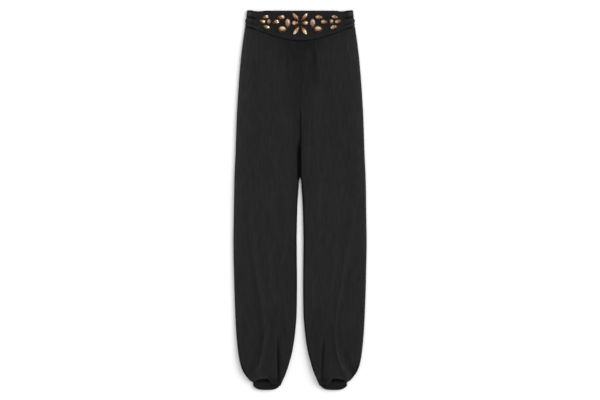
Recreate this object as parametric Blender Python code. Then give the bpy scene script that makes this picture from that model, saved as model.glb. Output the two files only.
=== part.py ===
"""Balloon trousers of crinkled black jersey, laid flat with the front side up.

The garment lies in the XY plane: its waist points to +Y, its front faces +Z, and the wearer's left is
at +X. The origin is under the middle of the garment, on the surface that it lies on. Places are given
by two distances: "across", from the middle line, and "down", below the highest point of the waistband.
"""

import math
from collections import namedtuple

import bmesh
import bpy

MM = 0.001

# ---------------------------------------------------------------- driving dimensions

LENGTH = 1062 * MM          # highest point of the waistband to the lowest point of the cuffs
SEAM_GAP = 0.3 * MM         # room between two pieces at a seam
SEAM_LEVEL = 3.0 * MM       # height of the side and inner leg seams above the surface
SIDE_ROUND = 6.0 * MM       # reach of the rounded turn at a side seam

WAIST_HALF_TOP = 147.6 * MM     # half width of the waistband at its upper edge
WAIST_HALF_SEAM = 152.4 * MM    # half width of the waistband at the leg seam
BAND_TOP = 5.2 * MM             # height of the waistband's front above the surface
BAND_WALL = 2.2 * MM            # doubled cloth of the waistband
BAND_SIDE_ROUND = 5.0 * MM      # reach of the elastic waistband's turn at the side
BAND_DEPTH_AT_SIDE = 46.2 * MM  # waistband depth at the side
BAND_EXTRA_IN_MIDDLE = 38.4 * MM  # how much deeper the yoke is in the middle
BAND_CURVE_HALF = 150 * MM      # half width over which the seam under the waistband curves
BAND_CURVE_POWER = 1.2
YOKE_HALF = 117 * MM            # half width of the front yoke
YOKE_TOP = 1.0 * MM             # how far the yoke's upper edge lies below the side corners
YOKE_SEAM_DIP = 1.8 * MM        # how much lower the upper edge dips where the yoke meets the elastic
YOKE_SEAM_DIP_HALF = 24 * MM
YOKE_EDGE_FALL = 0.9 * MM       # how far the yoke bends down at its upper and lower edge
YOKE_EDGE_WIDTH = 4 * MM
CORNER_WIDTH = 18 * MM          # width over which the elastic's upper edge rises to the side corner
CORNER_END = 5 * MM             # level stretch at the corner itself
BACK_TUCK = 1.0 * MM            # how much lower the back's upper edge lies behind the yoke
CHANNEL_FADE = 14 * MM          # the elastic's channels flatten towards the yoke over this width

ROLL_LEAN = math.radians(120)   # slope at the tucked end of the roll over a cuff, where folds end

CROTCH_DOWN = 286 * MM          # where the front and back seams meet between the legs
CROTCH_TURN = 13 * MM           # half the length over which the inner edge turns into a fold
RISE_TURN = 0.08                # how far the middle seams dip above the crotch, 1 being a full fold
YOKE_CURVE_FADE = 115 * MM      # length over which the panel's grain straightens out of the curve

CUFF_START = 1036 * MM          # where a cuff starts, under the leg's blousing
CUFF_REACH_UP = 13 * MM         # how far its front reaches up, under the lifted edge of the blousing
CUFF_MIDDLE = 94.0 * MM         # middle of a cuff, from the middle line
CUFF_HALF = 37.4 * MM           # half width of a cuff
CUFF_TOP = 6.0 * MM
CUFF_WALL = 2.2 * MM
CUFF_SIDE_ROUND = 5.5 * MM
CUFF_RIB = 0.45 * MM            # how far the two stitched channels stand up
CUFF_RIBS = 2
CUFF_HEM_RISE = 12 * MM         # how much higher the hem is at the cuff's sides than in its middle
CUFF_HEM_POWER = 3.6

DROOP_START = 980 * MM
DROOP_OUTER = 6 * MM            # how much lower the blousing hangs beside a cuff than on its middle
DROOP_HALF = 44 * MM            # width over which it droops at the outer side
DROOP_INNER = 10.5 * MM         # the same on the side towards the other leg, where it sags at once
DROOP_INNER_FROM = 88 * MM
DROOP_INNER_WIDTH = 18 * MM
LIFT = 9.5 * MM                 # how far the elastic of a cuff pulls the blousing's edge up
LIFT_START = 1002 * MM
LIFT_SPAN = (82 * MM, 91 * MM, 92 * MM, 148 * MM)   # rises between the first two, falls between the last

STONE_TABLE = 0.52              # size of a stone's flat top against its outline
STONE_GIRDLE = 1.1 * MM         # height of a stone's upright edge
STONE_HEIGHT_RATIO = 0.27       # height of a stone against its width
STONE_POINTS = 12

CLOTH_SHARP_ANGLE = math.radians(65)    # only the cut edges of the cloth are shaded sharp
FACET_SHARP_ANGLE = math.radians(12)    # a stone's facets are all shaded sharp

SIDES = {"left": 1, "right": -1}

# ---------------------------------------------------------------- tables, in millimetres

# One row for each cross section of a leg. "outer" and "inner" are the edges seen from above, "crease"
# and "fold" the lines that the two main folds follow, "top" the height of the front, "wall" the cloth's
# thickness, "lip" the reach of the turn at the inner edge, and "lean" the slope of the front in degrees.
Cut = namedtuple("Cut", "down outer inner crease fold top wall lip lean")
LEG_CUTS = [
    Cut(46, 153.8, 0.15, 52, 104, 4.6, 1.5, 2.6, 0),
    Cut(84, 159.4, 0.15, 54, 110, 4.8, 1.5, 2.6, 0),
    Cut(140, 166.2, 0.15, 57, 120, 5.2, 1.5, 2.6, 0),
    Cut(224, 172.9, 0.15, 60, 134, 5.6, 1.5, 2.6, 0),
    Cut(308, 177.6, 0.15, 62, 146, 6.2, 1.5, 3.6, 0),
    Cut(366, 179.6, 0.15, 63, 152, 6.4, 1.5, 5.0, 0),
    Cut(392, 180.4, 0.15, 63, 154, 6.5, 1.5, 7.0, 0),
    Cut(466, 183.7, 0.15, 63, 156, 6.5, 1.5, 7.0, 0),
    Cut(474, 183.9, 2.10, 63, 156, 6.5, 1.5, 6.0, 0),
    Cut(504, 184.6, 4.50, 63, 152, 6.5, 1.5, 6.0, 0),
    Cut(560, 185.3, 7.60, 63, 146, 6.5, 1.5, 6.0, 0),
    Cut(650, 186.6, 9.20, 63, 134, 6.5, 1.5, 6.0, 0),
    Cut(756, 184.6, 8.30, 63, 118, 6.6, 1.5, 6.0, 0),
    Cut(840, 181.8, 9.00, 63, 104, 7.0, 1.5, 6.0, 0),
    Cut(896, 179.0, 12.9, 63, 98.5, 7.8, 1.6, 6.0, 0),
    Cut(952, 174.0, 21.0, 62, 103, 9.2, 1.9, 6.0, 0),
    Cut(980, 169.5, 28.0, 61, 109.5, 10.2, 2.1, 6.0, 0),
    Cut(996, 165.2, 33.2, 60.5, 115, 10.8, 2.2, 6.0, 0),
    Cut(1008, 159.4, 38.5, 60, 121, 11.2, 2.2, 6.0, 0),
    Cut(1019, 151.0, 44.2, 60, 125, 11.4, 2.2, 6.0, 0),
    Cut(1030, 142.0, 50.2, 60, 126, 11.2, 2.2, 6.0, 10),
]

# The cloth rolls over the upper edge of the cuff and is tucked back under itself.
ROLL_CUTS = [
    Cut(1036.0, 136.0, 53.0, 61, 124, 10.4, 2.2, 6.0, 50),
    Cut(1039.4, 133.6, 54.4, 63, 122, 9.0, 2.2, 6.0, 90),
    Cut(1038.4, 133.6, 54.4, 64, 121, 7.0, 2.2, 6.0, 120),
]

# Lengthwise spacing of the cross sections: from, to, number of steps. The panels start under the
# waistband, and the back ones end at the cuffs, each a seam's gap away.
PANEL_START = (BAND_DEPTH_AT_SIDE + SEAM_GAP) / MM
BACK_END = (CUFF_START - SEAM_GAP) / MM
Stretch = namedtuple("Stretch", "start end steps")
FRONT_STRETCHES = [
    Stretch(PANEL_START, 84, 2), Stretch(84, 272, 5), Stretch(272, 300, 4), Stretch(300, 366, 3),
    Stretch(366, 466, 4), Stretch(466, 474, 1), Stretch(474, 880, 10), Stretch(880, 990, 8),
    Stretch(990, 1030, 5),
]
BACK_STRETCHES = [
    Stretch(PANEL_START, 84, 1), Stretch(84, 272, 3), Stretch(272, 300, 3), Stretch(300, 466, 3),
    Stretch(466, 474, 1), Stretch(474, 880, 6), Stretch(880, 990, 4), Stretch(990, BACK_END, 6),
]

# Folds of the front. Each follows a guide line of the table above, moved outwards by an offset that
# changes evenly from "from_offset" to "to_offset". A ridge has a positive rise, a trough a negative one.
Fold = namedtuple("Fold", "leg guide start end from_offset to_offset half_width rise")
FOLDS = [
    Fold("both", "fold", 455, 905, 1, 0, 15, 1.1),        # long soft ridge down the outer leg
    Fold("both", "fold", 860, 1075, 0, 0, 13, 1.5),       # its end, which swings out to the cuff
    Fold("both", "fold", 930, 1045, 24, 19, 16, -0.9),    # hollow between that ridge and the side
    Fold("both", "crease", 905, 1062, 1, 2, 8, -2.0),     # deep crease above the cuff
    Fold("both", "crease", 895, 1062, -10, -8, 8, 0.6),   # lip on the inner side of the crease
    Fold("both", "crease", 820, 900, 2, 2, 16, 0.5),      # swelling where the crease starts
    Fold("both", "crease", 955, 1080, 22, 20, 13, 0.7),   # swelling between the crease and the ridge
    Fold("both", "fold", 560, 860, -38, -30, 17, 0.7),    # low swell inside the long ridge
    Fold("both", "crease", 92, 185, -8, -8, 9, 0.6),      # small gathers below the yoke
    Fold("both", "crease", 80, 150, 34, 36, 11, 0.5),
    Fold("left", "crease", 92, 265, -22, -50, 9, -0.6),
    Fold("right", "crease", 88, 200, -34, -38, 9, -0.5),
    Fold("left", "fold", 250, 360, -28, -22, 16, -0.5),
    Fold("right", "fold", 240, 345, -20, -14, 16, -0.5),
    Fold("left", "crease", 420, 640, -18, -10, 16, 0.6),
    Fold("right", "crease", 500, 760, -16, -20, 16, 0.6),
]
FOLD_FADE = 0.28                # share of a fold's length over which it rises or falls away

# The elastic waistband's stitched channels, from the top: shares of the band's depth, how far each stands
# up on the front and out at the side, and how low its widest place at the side sits, 1 being its middle.
Channel = namedtuple("Channel", "start end face side skew")
CHANNELS = [
    Channel(0.0, 0.41, 1.6, 1.0, 1.0),
    Channel(0.41, 0.75, 1.6, 2.7, 2.0),
    Channel(0.75, 1.0, 1.4, 1.7, 1.0),
]

# Stones of one side, mirrored to the other: the middle of each group, then the stones round it.
Group = namedtuple("Group", "across down")
GROUPS = {"flower": Group(0, 36), "inner": Group(52, 36), "outer": Group(96, 33)}
Stone = namedtuple("Stone", "group name across up length width tilt cut tint")
STONES = [
    Stone("flower", "top", 12, 17, 26, 11.5, 50, "petal", "amber"),
    Stone("flower", "middle", 13, 0, 19, 12.5, 180, "drop", "amber"),
    Stone("flower", "bottom", 11, -21, 26, 12, -56, "petal", "amber"),
    Stone("inner", "near", -17, 0, 24, 16, 90, "oval", "rose"),
    Stone("inner", "top", 1, 16, 19, 12.5, -6, "oval", "amber"),
    Stone("inner", "far", 16, 3, 20, 13, -12, "drop", "amber"),
    Stone("inner", "bottom", -2, -17, 21.5, 17, 0, "oval", "amber"),
    Stone("outer", "top", 1, 14, 17.5, 11, -12, "oval", "amber"),
    Stone("outer", "far", 10, 2, 18, 10.5, 16, "drop", "amber"),
    Stone("outer", "near", -9, 1, 14.5, 12.5, 90, "oval", "rose"),
    Stone("outer", "bottom", -2, -14, 19, 11.5, 18, "oval", "amber"),
]

Finish = namedtuple("Finish", "colour roughness metallic")
FINISHES = {
    "jersey": Finish((0.016, 0.016, 0.017), 0.85, 0.0),
    "yoke_cloth": Finish((0.012, 0.012, 0.014), 0.7, 0.0),
    "elastic_band": Finish((0.018, 0.018, 0.019), 0.8, 0.0),
    "cuff_band": Finish((0.015, 0.015, 0.016), 0.8, 0.0),
    "amber_stone": Finish((0.58, 0.34, 0.13), 0.12, 0.0),
    "rose_stone": Finish((0.40, 0.24, 0.20), 0.15, 0.0),
}


# ---------------------------------------------------------------- small helpers

def ease(share):
    """0 before 0, 1 after 1, and a smooth step between them."""
    share = min(max(share, 0.0), 1.0)
    return share * share * (3 - 2 * share)


def bell(distance):
    """1 in the middle, falling smoothly to 0 at a distance of 1."""
    return 0.5 + 0.5 * math.cos(math.pi * min(abs(distance), 1.0))


def between(start, end, share):
    return start + (end - start) * share


def even_shares(steps):
    return [step / steps for step in range(steps + 1)]


def smooth_values(low, high, before, after, share):
    """Value between two table rows on a curve that never swings past them."""
    step = high[0] - low[0]
    middle = (high[1] - low[1]) / step
    slopes = []
    for first, second in ((before, low), (high, after)):
        side = (second[1] - first[1]) / (second[0] - first[0]) if second[0] > first[0] else middle
        slopes.append(2 * side * middle / (side + middle) if side * middle > 0 else 0.0)
    cube, square = share ** 3, share ** 2
    return ((2 * cube - 3 * square + 1) * low[1] + (cube - 2 * square + share) * step * slopes[0]
            + (3 * square - 2 * cube) * high[1] + (cube - square) * step * slopes[1])


def cut_at(down):
    """The leg's cross section at a distance below the waist, in metres."""
    place = min(max(down / MM, LEG_CUTS[0].down), LEG_CUTS[-1].down)
    index = max(i for i, row in enumerate(LEG_CUTS[:-1]) if row.down <= place)
    low, high = LEG_CUTS[index], LEG_CUTS[index + 1]
    before = LEG_CUTS[max(index - 1, 0)]
    after = LEG_CUTS[min(index + 2, len(LEG_CUTS) - 1)]
    share = (place - low.down) / (high.down - low.down)
    values = [smooth_values((low.down, low[c]), (high.down, high[c]), (before.down, before[c]),
                            (after.down, after[c]), share) for c in range(1, len(low))]
    return in_metres(Cut(down / MM, *values))


def in_metres(cut):
    return Cut(*[value * MM for value in cut[:-1]], math.radians(cut.lean))


def downs_of(stretches):
    """Distances below the waist of all cross sections of a list of stretches."""
    places = [stretches[0].start * MM]
    for stretch in stretches:
        for share in even_shares(stretch.steps)[1:]:
            places.append(between(stretch.start, stretch.end, share) * MM)
    return places


def waist_seam(across):
    """How far below the waist the seam under the waistband runs, at a distance from the middle."""
    bend = math.cos(math.pi / 2 * min(abs(across) / BAND_CURVE_HALF, 1.0))
    return BAND_DEPTH_AT_SIDE + BAND_EXTRA_IN_MIDDLE * max(bend, 0.0) ** BAND_CURVE_POWER


def waist_top(across, behind_yoke=0.0):
    """How far the waistband's upper edge lies below its side corners."""
    dip = YOKE_SEAM_DIP * bell((abs(across) - YOKE_HALF) / YOKE_SEAM_DIP_HALF)
    rise = ease((abs(across) - (WAIST_HALF_TOP - CORNER_END - CORNER_WIDTH)) / CORNER_WIDTH)
    return (YOKE_TOP + behind_yoke + dip) * (1 - rise)


def at(across, down, height):
    """A point of the garment in the part's own frame."""
    return (across, LENGTH / 2 - down, height)


# ---------------------------------------------------------------- solids

def solid(name, points, faces, finish, sharp_angle):
    """A closed mesh object with outward faces and its own material."""
    mesh = bpy.data.meshes.new(name)
    form = bmesh.new()
    corners = [form.verts.new(point) for point in points]
    for face in faces:
        form.faces.new([corners[index] for index in face])
    bmesh.ops.recalc_face_normals(form, faces=form.faces)
    form.to_mesh(mesh)
    form.free()
    mesh.shade_smooth()
    mesh.set_sharp_from_angle(angle=sharp_angle)
    mesh.materials.append(material(name, FINISHES[finish]))
    piece = bpy.data.objects.new(name, mesh)
    bpy.context.scene.collection.objects.link(piece)
    return piece


def material(name, finish):
    surface = bpy.data.materials.new(name)
    surface.use_nodes = True
    shader = surface.node_tree.nodes["Principled BSDF"]
    shader.inputs["Base Color"].default_value = (*finish.colour, 1.0)
    shader.inputs["Roughness"].default_value = finish.roughness
    shader.inputs["Metallic"].default_value = finish.metallic
    return surface


def cloth_wall(name, outside, inside, finish, tube=False):
    """Cloth between two grids of points; a tube's last column joins its first."""
    rows, columns = len(outside), len(outside[0])
    points = [point for grid in (outside, inside) for row in grid for point in row]
    faces = []

    def index(layer, row, column):
        return (layer * rows + row) * columns + column % columns

    spans = columns if tube else columns - 1
    for row in range(rows - 1):
        for column in range(spans):
            for layer in (0, 1):
                faces.append((index(layer, row, column), index(layer, row, column + 1),
                              index(layer, row + 1, column + 1), index(layer, row + 1, column)))
    for row in (0, rows - 1):
        for column in range(spans):
            faces.append((index(0, row, column), index(0, row, column + 1),
                          index(1, row, column + 1), index(1, row, column)))
    if not tube:
        for column in (0, columns - 1):
            for row in range(rows - 1):
                faces.append((index(0, row, column), index(0, row + 1, column),
                              index(1, row + 1, column), index(1, row, column)))
    return solid(name, points, faces, finish, CLOTH_SHARP_ANGLE)


# ---------------------------------------------------------------- legs

# Places across a panel: quarter turns at both edges, and the flat part between them, whose lines follow
# the two guide lines.
OUTER_TURN = [math.radians(angle) for angle in (0, 24, 50, 74)]
INNER_TURN = [math.radians(angle) for angle in (74, 50, 24, 0)]
FRONT_SPANS = (6, 6, 6)     # steps from the outer turn to the fold, to the crease, to the inner turn
BACK_SPANS = (2, 2, 2)


def flat_places(cut, inner_end, spans):
    """Distances from the middle of the panel's lengthwise lines between its two turns."""
    knots = (cut.outer - SIDE_ROUND, cut.fold, cut.crease, inner_end)
    places = [knots[0]]
    for start, end, steps in zip(knots, knots[1:], spans):
        places += [between(start, end, share) for share in even_shares(steps)[1:]]
    return places


def crotch_turn(down):
    """How far the inner edge is turned down: hardly above the crotch, fully below it."""
    share = (down - (CROTCH_DOWN - CROTCH_TURN)) / (2 * CROTCH_TURN)
    return between(RISE_TURN, 1.0, ease(share))


def fold_relief(leg, cut, across):
    """Height that the folds add to the front of a leg."""
    height = 0.0
    down = cut.down / MM
    for fold in FOLDS:
        if fold.leg not in ("both", leg) or not fold.start < down < fold.end:
            continue
        share = (down - fold.start) / (fold.end - fold.start)
        line = getattr(cut, fold.guide) / MM + between(fold.from_offset, fold.to_offset, share)
        strength = ease(share / FOLD_FADE) * ease((1 - share) / FOLD_FADE)
        height += fold.rise * strength * bell((across / MM - line) / fold.half_width)
    return height * MM


def panel_row(cut, rim, level, shrink, spans, relief):
    """Points (across, height) of one cross section, from the side seam to the inner seam."""
    turn = crotch_turn(cut.down)
    outer, inner = cut.outer - shrink, cut.inner + turn * shrink
    reach, lip = SIDE_ROUND - shrink, cut.lip - shrink
    row = []
    for angle in OUTER_TURN:
        across = outer - reach * (1 - math.cos(angle))
        top = level + relief(across)
        row.append((across, rim + (top - rim) * math.sin(angle)))
    row += [(across, level + relief(across)) for across in flat_places(cut, inner + lip, spans)]
    for angle in INNER_TURN:
        across = inner + lip * (1 - math.cos(angle))
        top = level + relief(across)
        row.append((across, top - turn * (top - rim) * (1 - math.sin(angle))))
    return row


def grain_down(across, down):
    """Where a cross section runs: along the curved seam at the top, drooping and pulled up at the cuff."""
    straight = ease((down - BAND_DEPTH_AT_SIDE) / YOKE_CURVE_FADE)
    curved = (waist_seam(across) - BAND_DEPTH_AT_SIDE) * (1 - straight)
    place = abs(across)
    outer = DROOP_OUTER * min(max((place - CUFF_MIDDLE) / DROOP_HALF, 0.0), 1.0) ** 3
    inner = DROOP_INNER * ease((DROOP_INNER_FROM - place) / DROOP_INNER_WIDTH)
    droop = (outer + inner) * ease((down - DROOP_START) / (CUFF_START - DROOP_START))
    rise_from, rise_to, fall_from, fall_to = LIFT_SPAN
    pulled = ease((place - rise_from) / (rise_to - rise_from))
    pulled *= ease((fall_to - place) / (fall_to - fall_from))
    lift = LIFT * pulled * ease((down - LIFT_START) / (CUFF_START - LIFT_START))
    return down + curved + droop - lift


def leg_front(leg):
    side = SIDES[leg]
    cuts = [cut_at(down) for down in downs_of(FRONT_STRETCHES)] + [in_metres(cut) for cut in ROLL_CUTS]
    outside, inside = [], []
    for cut in cuts:
        def relief(across):
            return fold_relief(leg, cut, across) * (1 - cut.lean / ROLL_LEAN)

        for grid, depth in ((outside, 0.0), (inside, cut.wall)):
            down = cut.down - depth * math.sin(cut.lean)
            level = cut.top - depth * math.cos(cut.lean)
            row = panel_row(cut, SEAM_LEVEL, level, depth, FRONT_SPANS, relief)
            grid.append([at(side * across, grain_down(across, down), height) for across, height in row])
    return cloth_wall("leg_front_" + leg, outside, inside, "jersey")


def leg_back(leg):
    side = SIDES[leg]
    outside, inside = [], []
    for down in downs_of(BACK_STRETCHES):
        cut = cut_at(down)
        for grid, depth in ((outside, 0.0), (inside, cut.wall)):
            row = panel_row(cut, SEAM_LEVEL - SEAM_GAP, depth, depth, BACK_SPANS, lambda across: 0.0)
            grid.append([at(side * across, down, height) for across, height in row])
    return cloth_wall("leg_back_" + leg, outside, inside, "jersey")


# ---------------------------------------------------------------- waistband

YOKE_COLUMNS = 22
ELASTIC_FRONT_STEPS = 3
ELASTIC_ROWS = 3            # rows of a channel
ELASTIC_TURN_STEPS = 6
ELASTIC_BACK_STEPS = 8


def edge_fall(distance):
    """How far the yoke's surface bends down at a distance from its edge."""
    return YOKE_EDGE_FALL * (1 - math.sin(math.pi / 2 * min(distance / YOKE_EDGE_WIDTH, 1.0)))


def waistband_front():
    """The front yoke: a flat field for the stones between edges that bend down."""
    places = [between(-YOKE_HALF, YOKE_HALF, share) for share in even_shares(YOKE_COLUMNS)]
    outside, inside = [], []
    for row in range(5):
        upper, lower = [], []
        for across in places:
            start, end = waist_top(across), waist_seam(across)
            down = (start, start + YOKE_EDGE_WIDTH, (start + end) / 2, end - YOKE_EDGE_WIDTH, end)[row]
            upper.append(at(across, down, BAND_TOP - edge_fall(min(down - start, end - down))))
            lower.append(at(across, down, BAND_TOP - BAND_WALL))
        outside.append(upper)
        inside.append(lower)
    return cloth_wall("waistband_front", outside, inside, "yoke_cloth")


def channel_rows():
    """Rows of the elastic waistband: share of its depth, rise in front and bulge at the side."""
    rows = []
    for channel in CHANNELS:
        for part in even_shares(ELASTIC_ROWS)[:-1]:
            rise = channel.face * MM * math.sin(math.pi * part)
            bulge = channel.side * MM * math.sin(math.pi * part ** channel.skew)
            rows.append((between(channel.start, channel.end, part), rise, bulge))
    rows.append((1.0, 0.0, 0.0))
    return rows


def elastic_ring(half, shrink, face_rise, side_rise):
    """One side of the elastic waistband's cross section: (across, height, part), front end first."""
    reach, rise = BAND_SIDE_ROUND - shrink, BAND_TOP / 2 - shrink
    middle, turn_start = BAND_TOP / 2, half - BAND_SIDE_ROUND
    ring = []
    for share in even_shares(ELASTIC_FRONT_STEPS)[:-1]:
        across = between(YOKE_HALF + SEAM_GAP, turn_start, share)
        beside_yoke = ease((across - YOKE_HALF) / CHANNEL_FADE)
        ring.append((across, middle + rise + face_rise * beside_yoke, "front"))
    for share in even_shares(ELASTIC_TURN_STEPS):
        angle = between(math.pi / 2, -math.pi / 2, share)
        out = side_rise * max(math.cos(angle), 0.0)
        up = face_rise * max(math.sin(angle), 0.0)
        across = turn_start + reach * math.cos(angle) + out
        ring.append((across, middle + rise * math.sin(angle) + up, "front" if angle > 0 else "back"))
    return ring


def waistband_back():
    """The elastic waistband: the whole back, and a stretch of the front at each side."""
    outside, inside = [], []
    for share, rise, bulge in channel_rows():
        half = between(WAIST_HALF_TOP, WAIST_HALF_SEAM, share)
        for grid, ring in ((outside, elastic_ring(half, 0.0, rise, bulge)),
                           (inside, elastic_ring(half, BAND_WALL, 0.0, 0.0))):
            last = ring[-1]
            back = [(between(last[0], -last[0], part), last[1], "back")
                    for part in even_shares(ELASTIC_BACK_STEPS)[1:-1]]
            whole = ring + back + [(-across, height, where) for across, height, where in reversed(ring)]
            row = []
            for across, height, where in whole:
                on_front = where == "front"
                start = waist_top(across, 0.0 if on_front else BACK_TUCK)
                end = waist_seam(across) if on_front else BAND_DEPTH_AT_SIDE
                row.append(at(across, between(start, end, share), height))
            grid.append(row)
    return cloth_wall("waistband_back", outside, inside, "elastic_band")


# ---------------------------------------------------------------- cuffs

CUFF_TOP_STEPS = 8
CUFF_TURN_STEPS = 5
CUFF_BACK_STEPS = 5
CUFF_ROWS_PER_RIB = 3


def cuff_ring(shrink, rib):
    """Closed cross section of a cuff: (distance from the cuff's middle, height, 1 in front to 0 behind)."""
    reach, rise = CUFF_SIDE_ROUND - shrink, CUFF_TOP / 2 - shrink
    flat, middle = CUFF_HALF - CUFF_SIDE_ROUND, CUFF_TOP / 2

    def turned(side, angle):
        up = rib * max(math.sin(angle), 0.0)
        return (side * (flat + reach * math.cos(angle)), middle + rise * math.sin(angle) + up,
                ease(2 * math.sin(angle) - 1))

    ring = []
    for share in even_shares(CUFF_TOP_STEPS):
        ring.append((between(-flat, flat, share), middle + rise + rib, 1.0))
    for share in even_shares(CUFF_TURN_STEPS)[1:]:
        ring.append(turned(1, between(math.pi / 2, -math.pi / 2, share)))
    for share in even_shares(CUFF_BACK_STEPS)[1:]:
        ring.append((between(flat, -flat, share), middle - rise, 0.0))
    for share in even_shares(CUFF_TURN_STEPS)[1:-1]:
        ring.append(turned(-1, between(-math.pi / 2, math.pi / 2, share)))
    return ring


def cuff(leg):
    """A flat elastic tube with a rounded hem, two stitched channels and a front that reaches further up."""
    side = SIDES[leg]
    rows = CUFF_RIBS * CUFF_ROWS_PER_RIB
    outside, inside = [], []
    for step, share in enumerate(even_shares(rows)):
        rib = CUFF_RIB * (step % CUFF_ROWS_PER_RIB > 0)
        for grid, shrink, rise in ((outside, 0.0, rib), (inside, CUFF_WALL, 0.0)):
            row = []
            for offset, height, front in cuff_ring(shrink, rise):
                hem = LENGTH - CUFF_HEM_RISE * min(abs(offset) / CUFF_HALF, 1.0) ** CUFF_HEM_POWER
                down = between(CUFF_START, hem, share) if step else CUFF_START - CUFF_REACH_UP * front
                row.append(at(side * (CUFF_MIDDLE + offset), down, height))
            grid.append(row)
    return cloth_wall("cuff_" + leg, outside, inside, "cuff_band", tube=True)


# ---------------------------------------------------------------- stones

def stone_outline(cut, length, width):
    """Points of a stone's outline round its middle: an oval, a petal with two tips, a drop with one."""
    outline = []
    for step in range(STONE_POINTS):
        angle = 2 * math.pi * step / STONE_POINTS
        along, aside = math.cos(angle), math.sin(angle)
        if cut == "petal":
            aside *= abs(aside) ** 0.45
        if cut == "drop":
            aside *= (1 - 0.22 * along) * abs(aside) ** 0.2
        outline.append((length / 2 * along, width / 2 * aside))
    return outline


def stone(row, leg):
    """One faceted stone: upright edge, sloping facets and a flat top, on the yoke's flat field."""
    side = SIDES[leg]
    group = GROUPS[row.group]
    length, width = row.length * MM, row.width * MM
    base = BAND_TOP + SEAM_GAP
    top = base + STONE_GIRDLE + STONE_HEIGHT_RATIO * width
    turn = math.radians(row.tilt)
    points = []
    for height, size in ((base, 1.0), (base + STONE_GIRDLE, 1.0), (top, STONE_TABLE)):
        for along, aside in stone_outline(row.cut, length * size, width * size):
            across = (group.across + row.across) * MM + along * math.cos(turn) - aside * math.sin(turn)
            up = row.up * MM + along * math.sin(turn) + aside * math.cos(turn)
            points.append(at(side * across, group.down * MM - up, height))
    count = STONE_POINTS
    faces = [tuple(range(count)), tuple(range(2 * count, 3 * count))]
    for ring in (0, count):
        for step in range(count):
            after = (step + 1) % count
            faces.append((ring + step, ring + after, ring + count + after, ring + count + step))
    name = "_".join(("stone", row.group, row.name, leg))
    return solid(name, points, faces, row.tint + "_stone", FACET_SHARP_ANGLE)


# ---------------------------------------------------------------- the whole garment

def build():
    for old in list(bpy.data.objects):
        bpy.data.objects.remove(old, do_unlink=True)
    waistband_front()
    waistband_back()
    for leg in SIDES:
        leg_front(leg)
        leg_back(leg)
        cuff(leg)
        for row in STONES:
            stone(row, leg)


build()
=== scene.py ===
# %% [markdown]
# # Balloon trousers of crinkled black jersey, laid flat
# This lesson dresses a finished construction model of a pair of trousers. The model gives the size and the
# place of every panel, so the first step only loads it, and every later piece is fitted onto it. The
# garment lies in the XY plane: its waist points to +Y, its front faces +Z, and the wearer's left is at +X.

# %% Load the construction model
import math
from collections import namedtuple

import bmesh
import bpy
import numpy as np
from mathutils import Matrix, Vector, noise


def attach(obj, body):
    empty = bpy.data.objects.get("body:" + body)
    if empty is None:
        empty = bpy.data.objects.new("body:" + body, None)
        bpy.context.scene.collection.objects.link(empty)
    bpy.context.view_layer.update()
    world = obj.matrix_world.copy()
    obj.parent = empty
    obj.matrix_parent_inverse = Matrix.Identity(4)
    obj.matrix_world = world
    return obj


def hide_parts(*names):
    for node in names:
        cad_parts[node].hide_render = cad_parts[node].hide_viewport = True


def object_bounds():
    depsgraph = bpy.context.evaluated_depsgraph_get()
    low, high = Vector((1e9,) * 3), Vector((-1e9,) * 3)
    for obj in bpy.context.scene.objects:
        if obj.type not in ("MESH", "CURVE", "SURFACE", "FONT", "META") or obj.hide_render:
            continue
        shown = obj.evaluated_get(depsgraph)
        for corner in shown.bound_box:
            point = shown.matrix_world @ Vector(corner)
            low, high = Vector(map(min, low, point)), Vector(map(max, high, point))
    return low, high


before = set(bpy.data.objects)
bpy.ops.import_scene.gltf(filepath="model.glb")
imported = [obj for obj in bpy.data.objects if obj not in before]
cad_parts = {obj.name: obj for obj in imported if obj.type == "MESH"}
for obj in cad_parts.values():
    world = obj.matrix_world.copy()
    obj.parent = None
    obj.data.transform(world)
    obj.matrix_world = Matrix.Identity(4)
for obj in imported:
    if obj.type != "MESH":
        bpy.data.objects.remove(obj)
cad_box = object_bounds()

MM = 0.001
print("construction model:", len(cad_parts), "nodes")

# %% [markdown]
# ## Places on the garment
# A tailor measures down from the waist and out from the middle line, and so does this file: a point is
# given by how far it lies "across" and "down", and by its height above the table. Every cell below uses the
# same small helpers: `ease` for soft beginnings and ends, and `bell` for the round cross section of a fold.
# Three sizes that many cells share are named here too.

# %% Places and soft curves
LENGTH = cad_box[1][1] - cad_box[0][1]
SIDES = {"left": 1, "right": -1}
PANEL_START = 46.5 * MM         # here the leg panels start, under the waistband
CUFF_START = 1036 * MM          # here the cuffs start
SEAM_GAP = 0.3 * MM             # pieces that are sewn together stand this far apart


def at(across, down, height):
    """Points of the garment, from arrays or single numbers in metres."""
    return np.stack(np.broadcast_arrays(across, LENGTH / 2 - down, height), axis=-1)


def ease(share):
    """0 before 0, 1 after 1, and a smooth step between them."""
    share = np.clip(share, 0.0, 1.0)
    return share * share * (3 - 2 * share)


def bell(distance):
    """1 in the middle, falling smoothly to 0 at a distance of 1."""
    return 0.5 + 0.5 * np.cos(np.pi * np.minimum(np.abs(distance), 1.0))


def between(start, end, share):
    """The value at a share of the way from start to end."""
    return start + (end - start) * share


print("garment length: %.0f mm" % (LENGTH / MM))

# %% [markdown]
# ## A camera straight above
# The photograph was taken straight from above, so the garment's outline isn't foreshortened. A camera on a
# boom does the same: it looks along -Z, and a long lens keeps the edges of the frame free of distortion.
# The height follows from the lens and from how much of the floor the photograph's width covers.

# %% Camera
PICTURE_SIZE = (600, 400)
FLOOR_PER_PIXEL = 2.7965 * MM
GARMENT_MIDDLE_IN_PICTURE = (300.06, 200.1)
LENS = 85.0
SENSOR = 36.0
AIM_HEIGHT = 5 * MM


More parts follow.
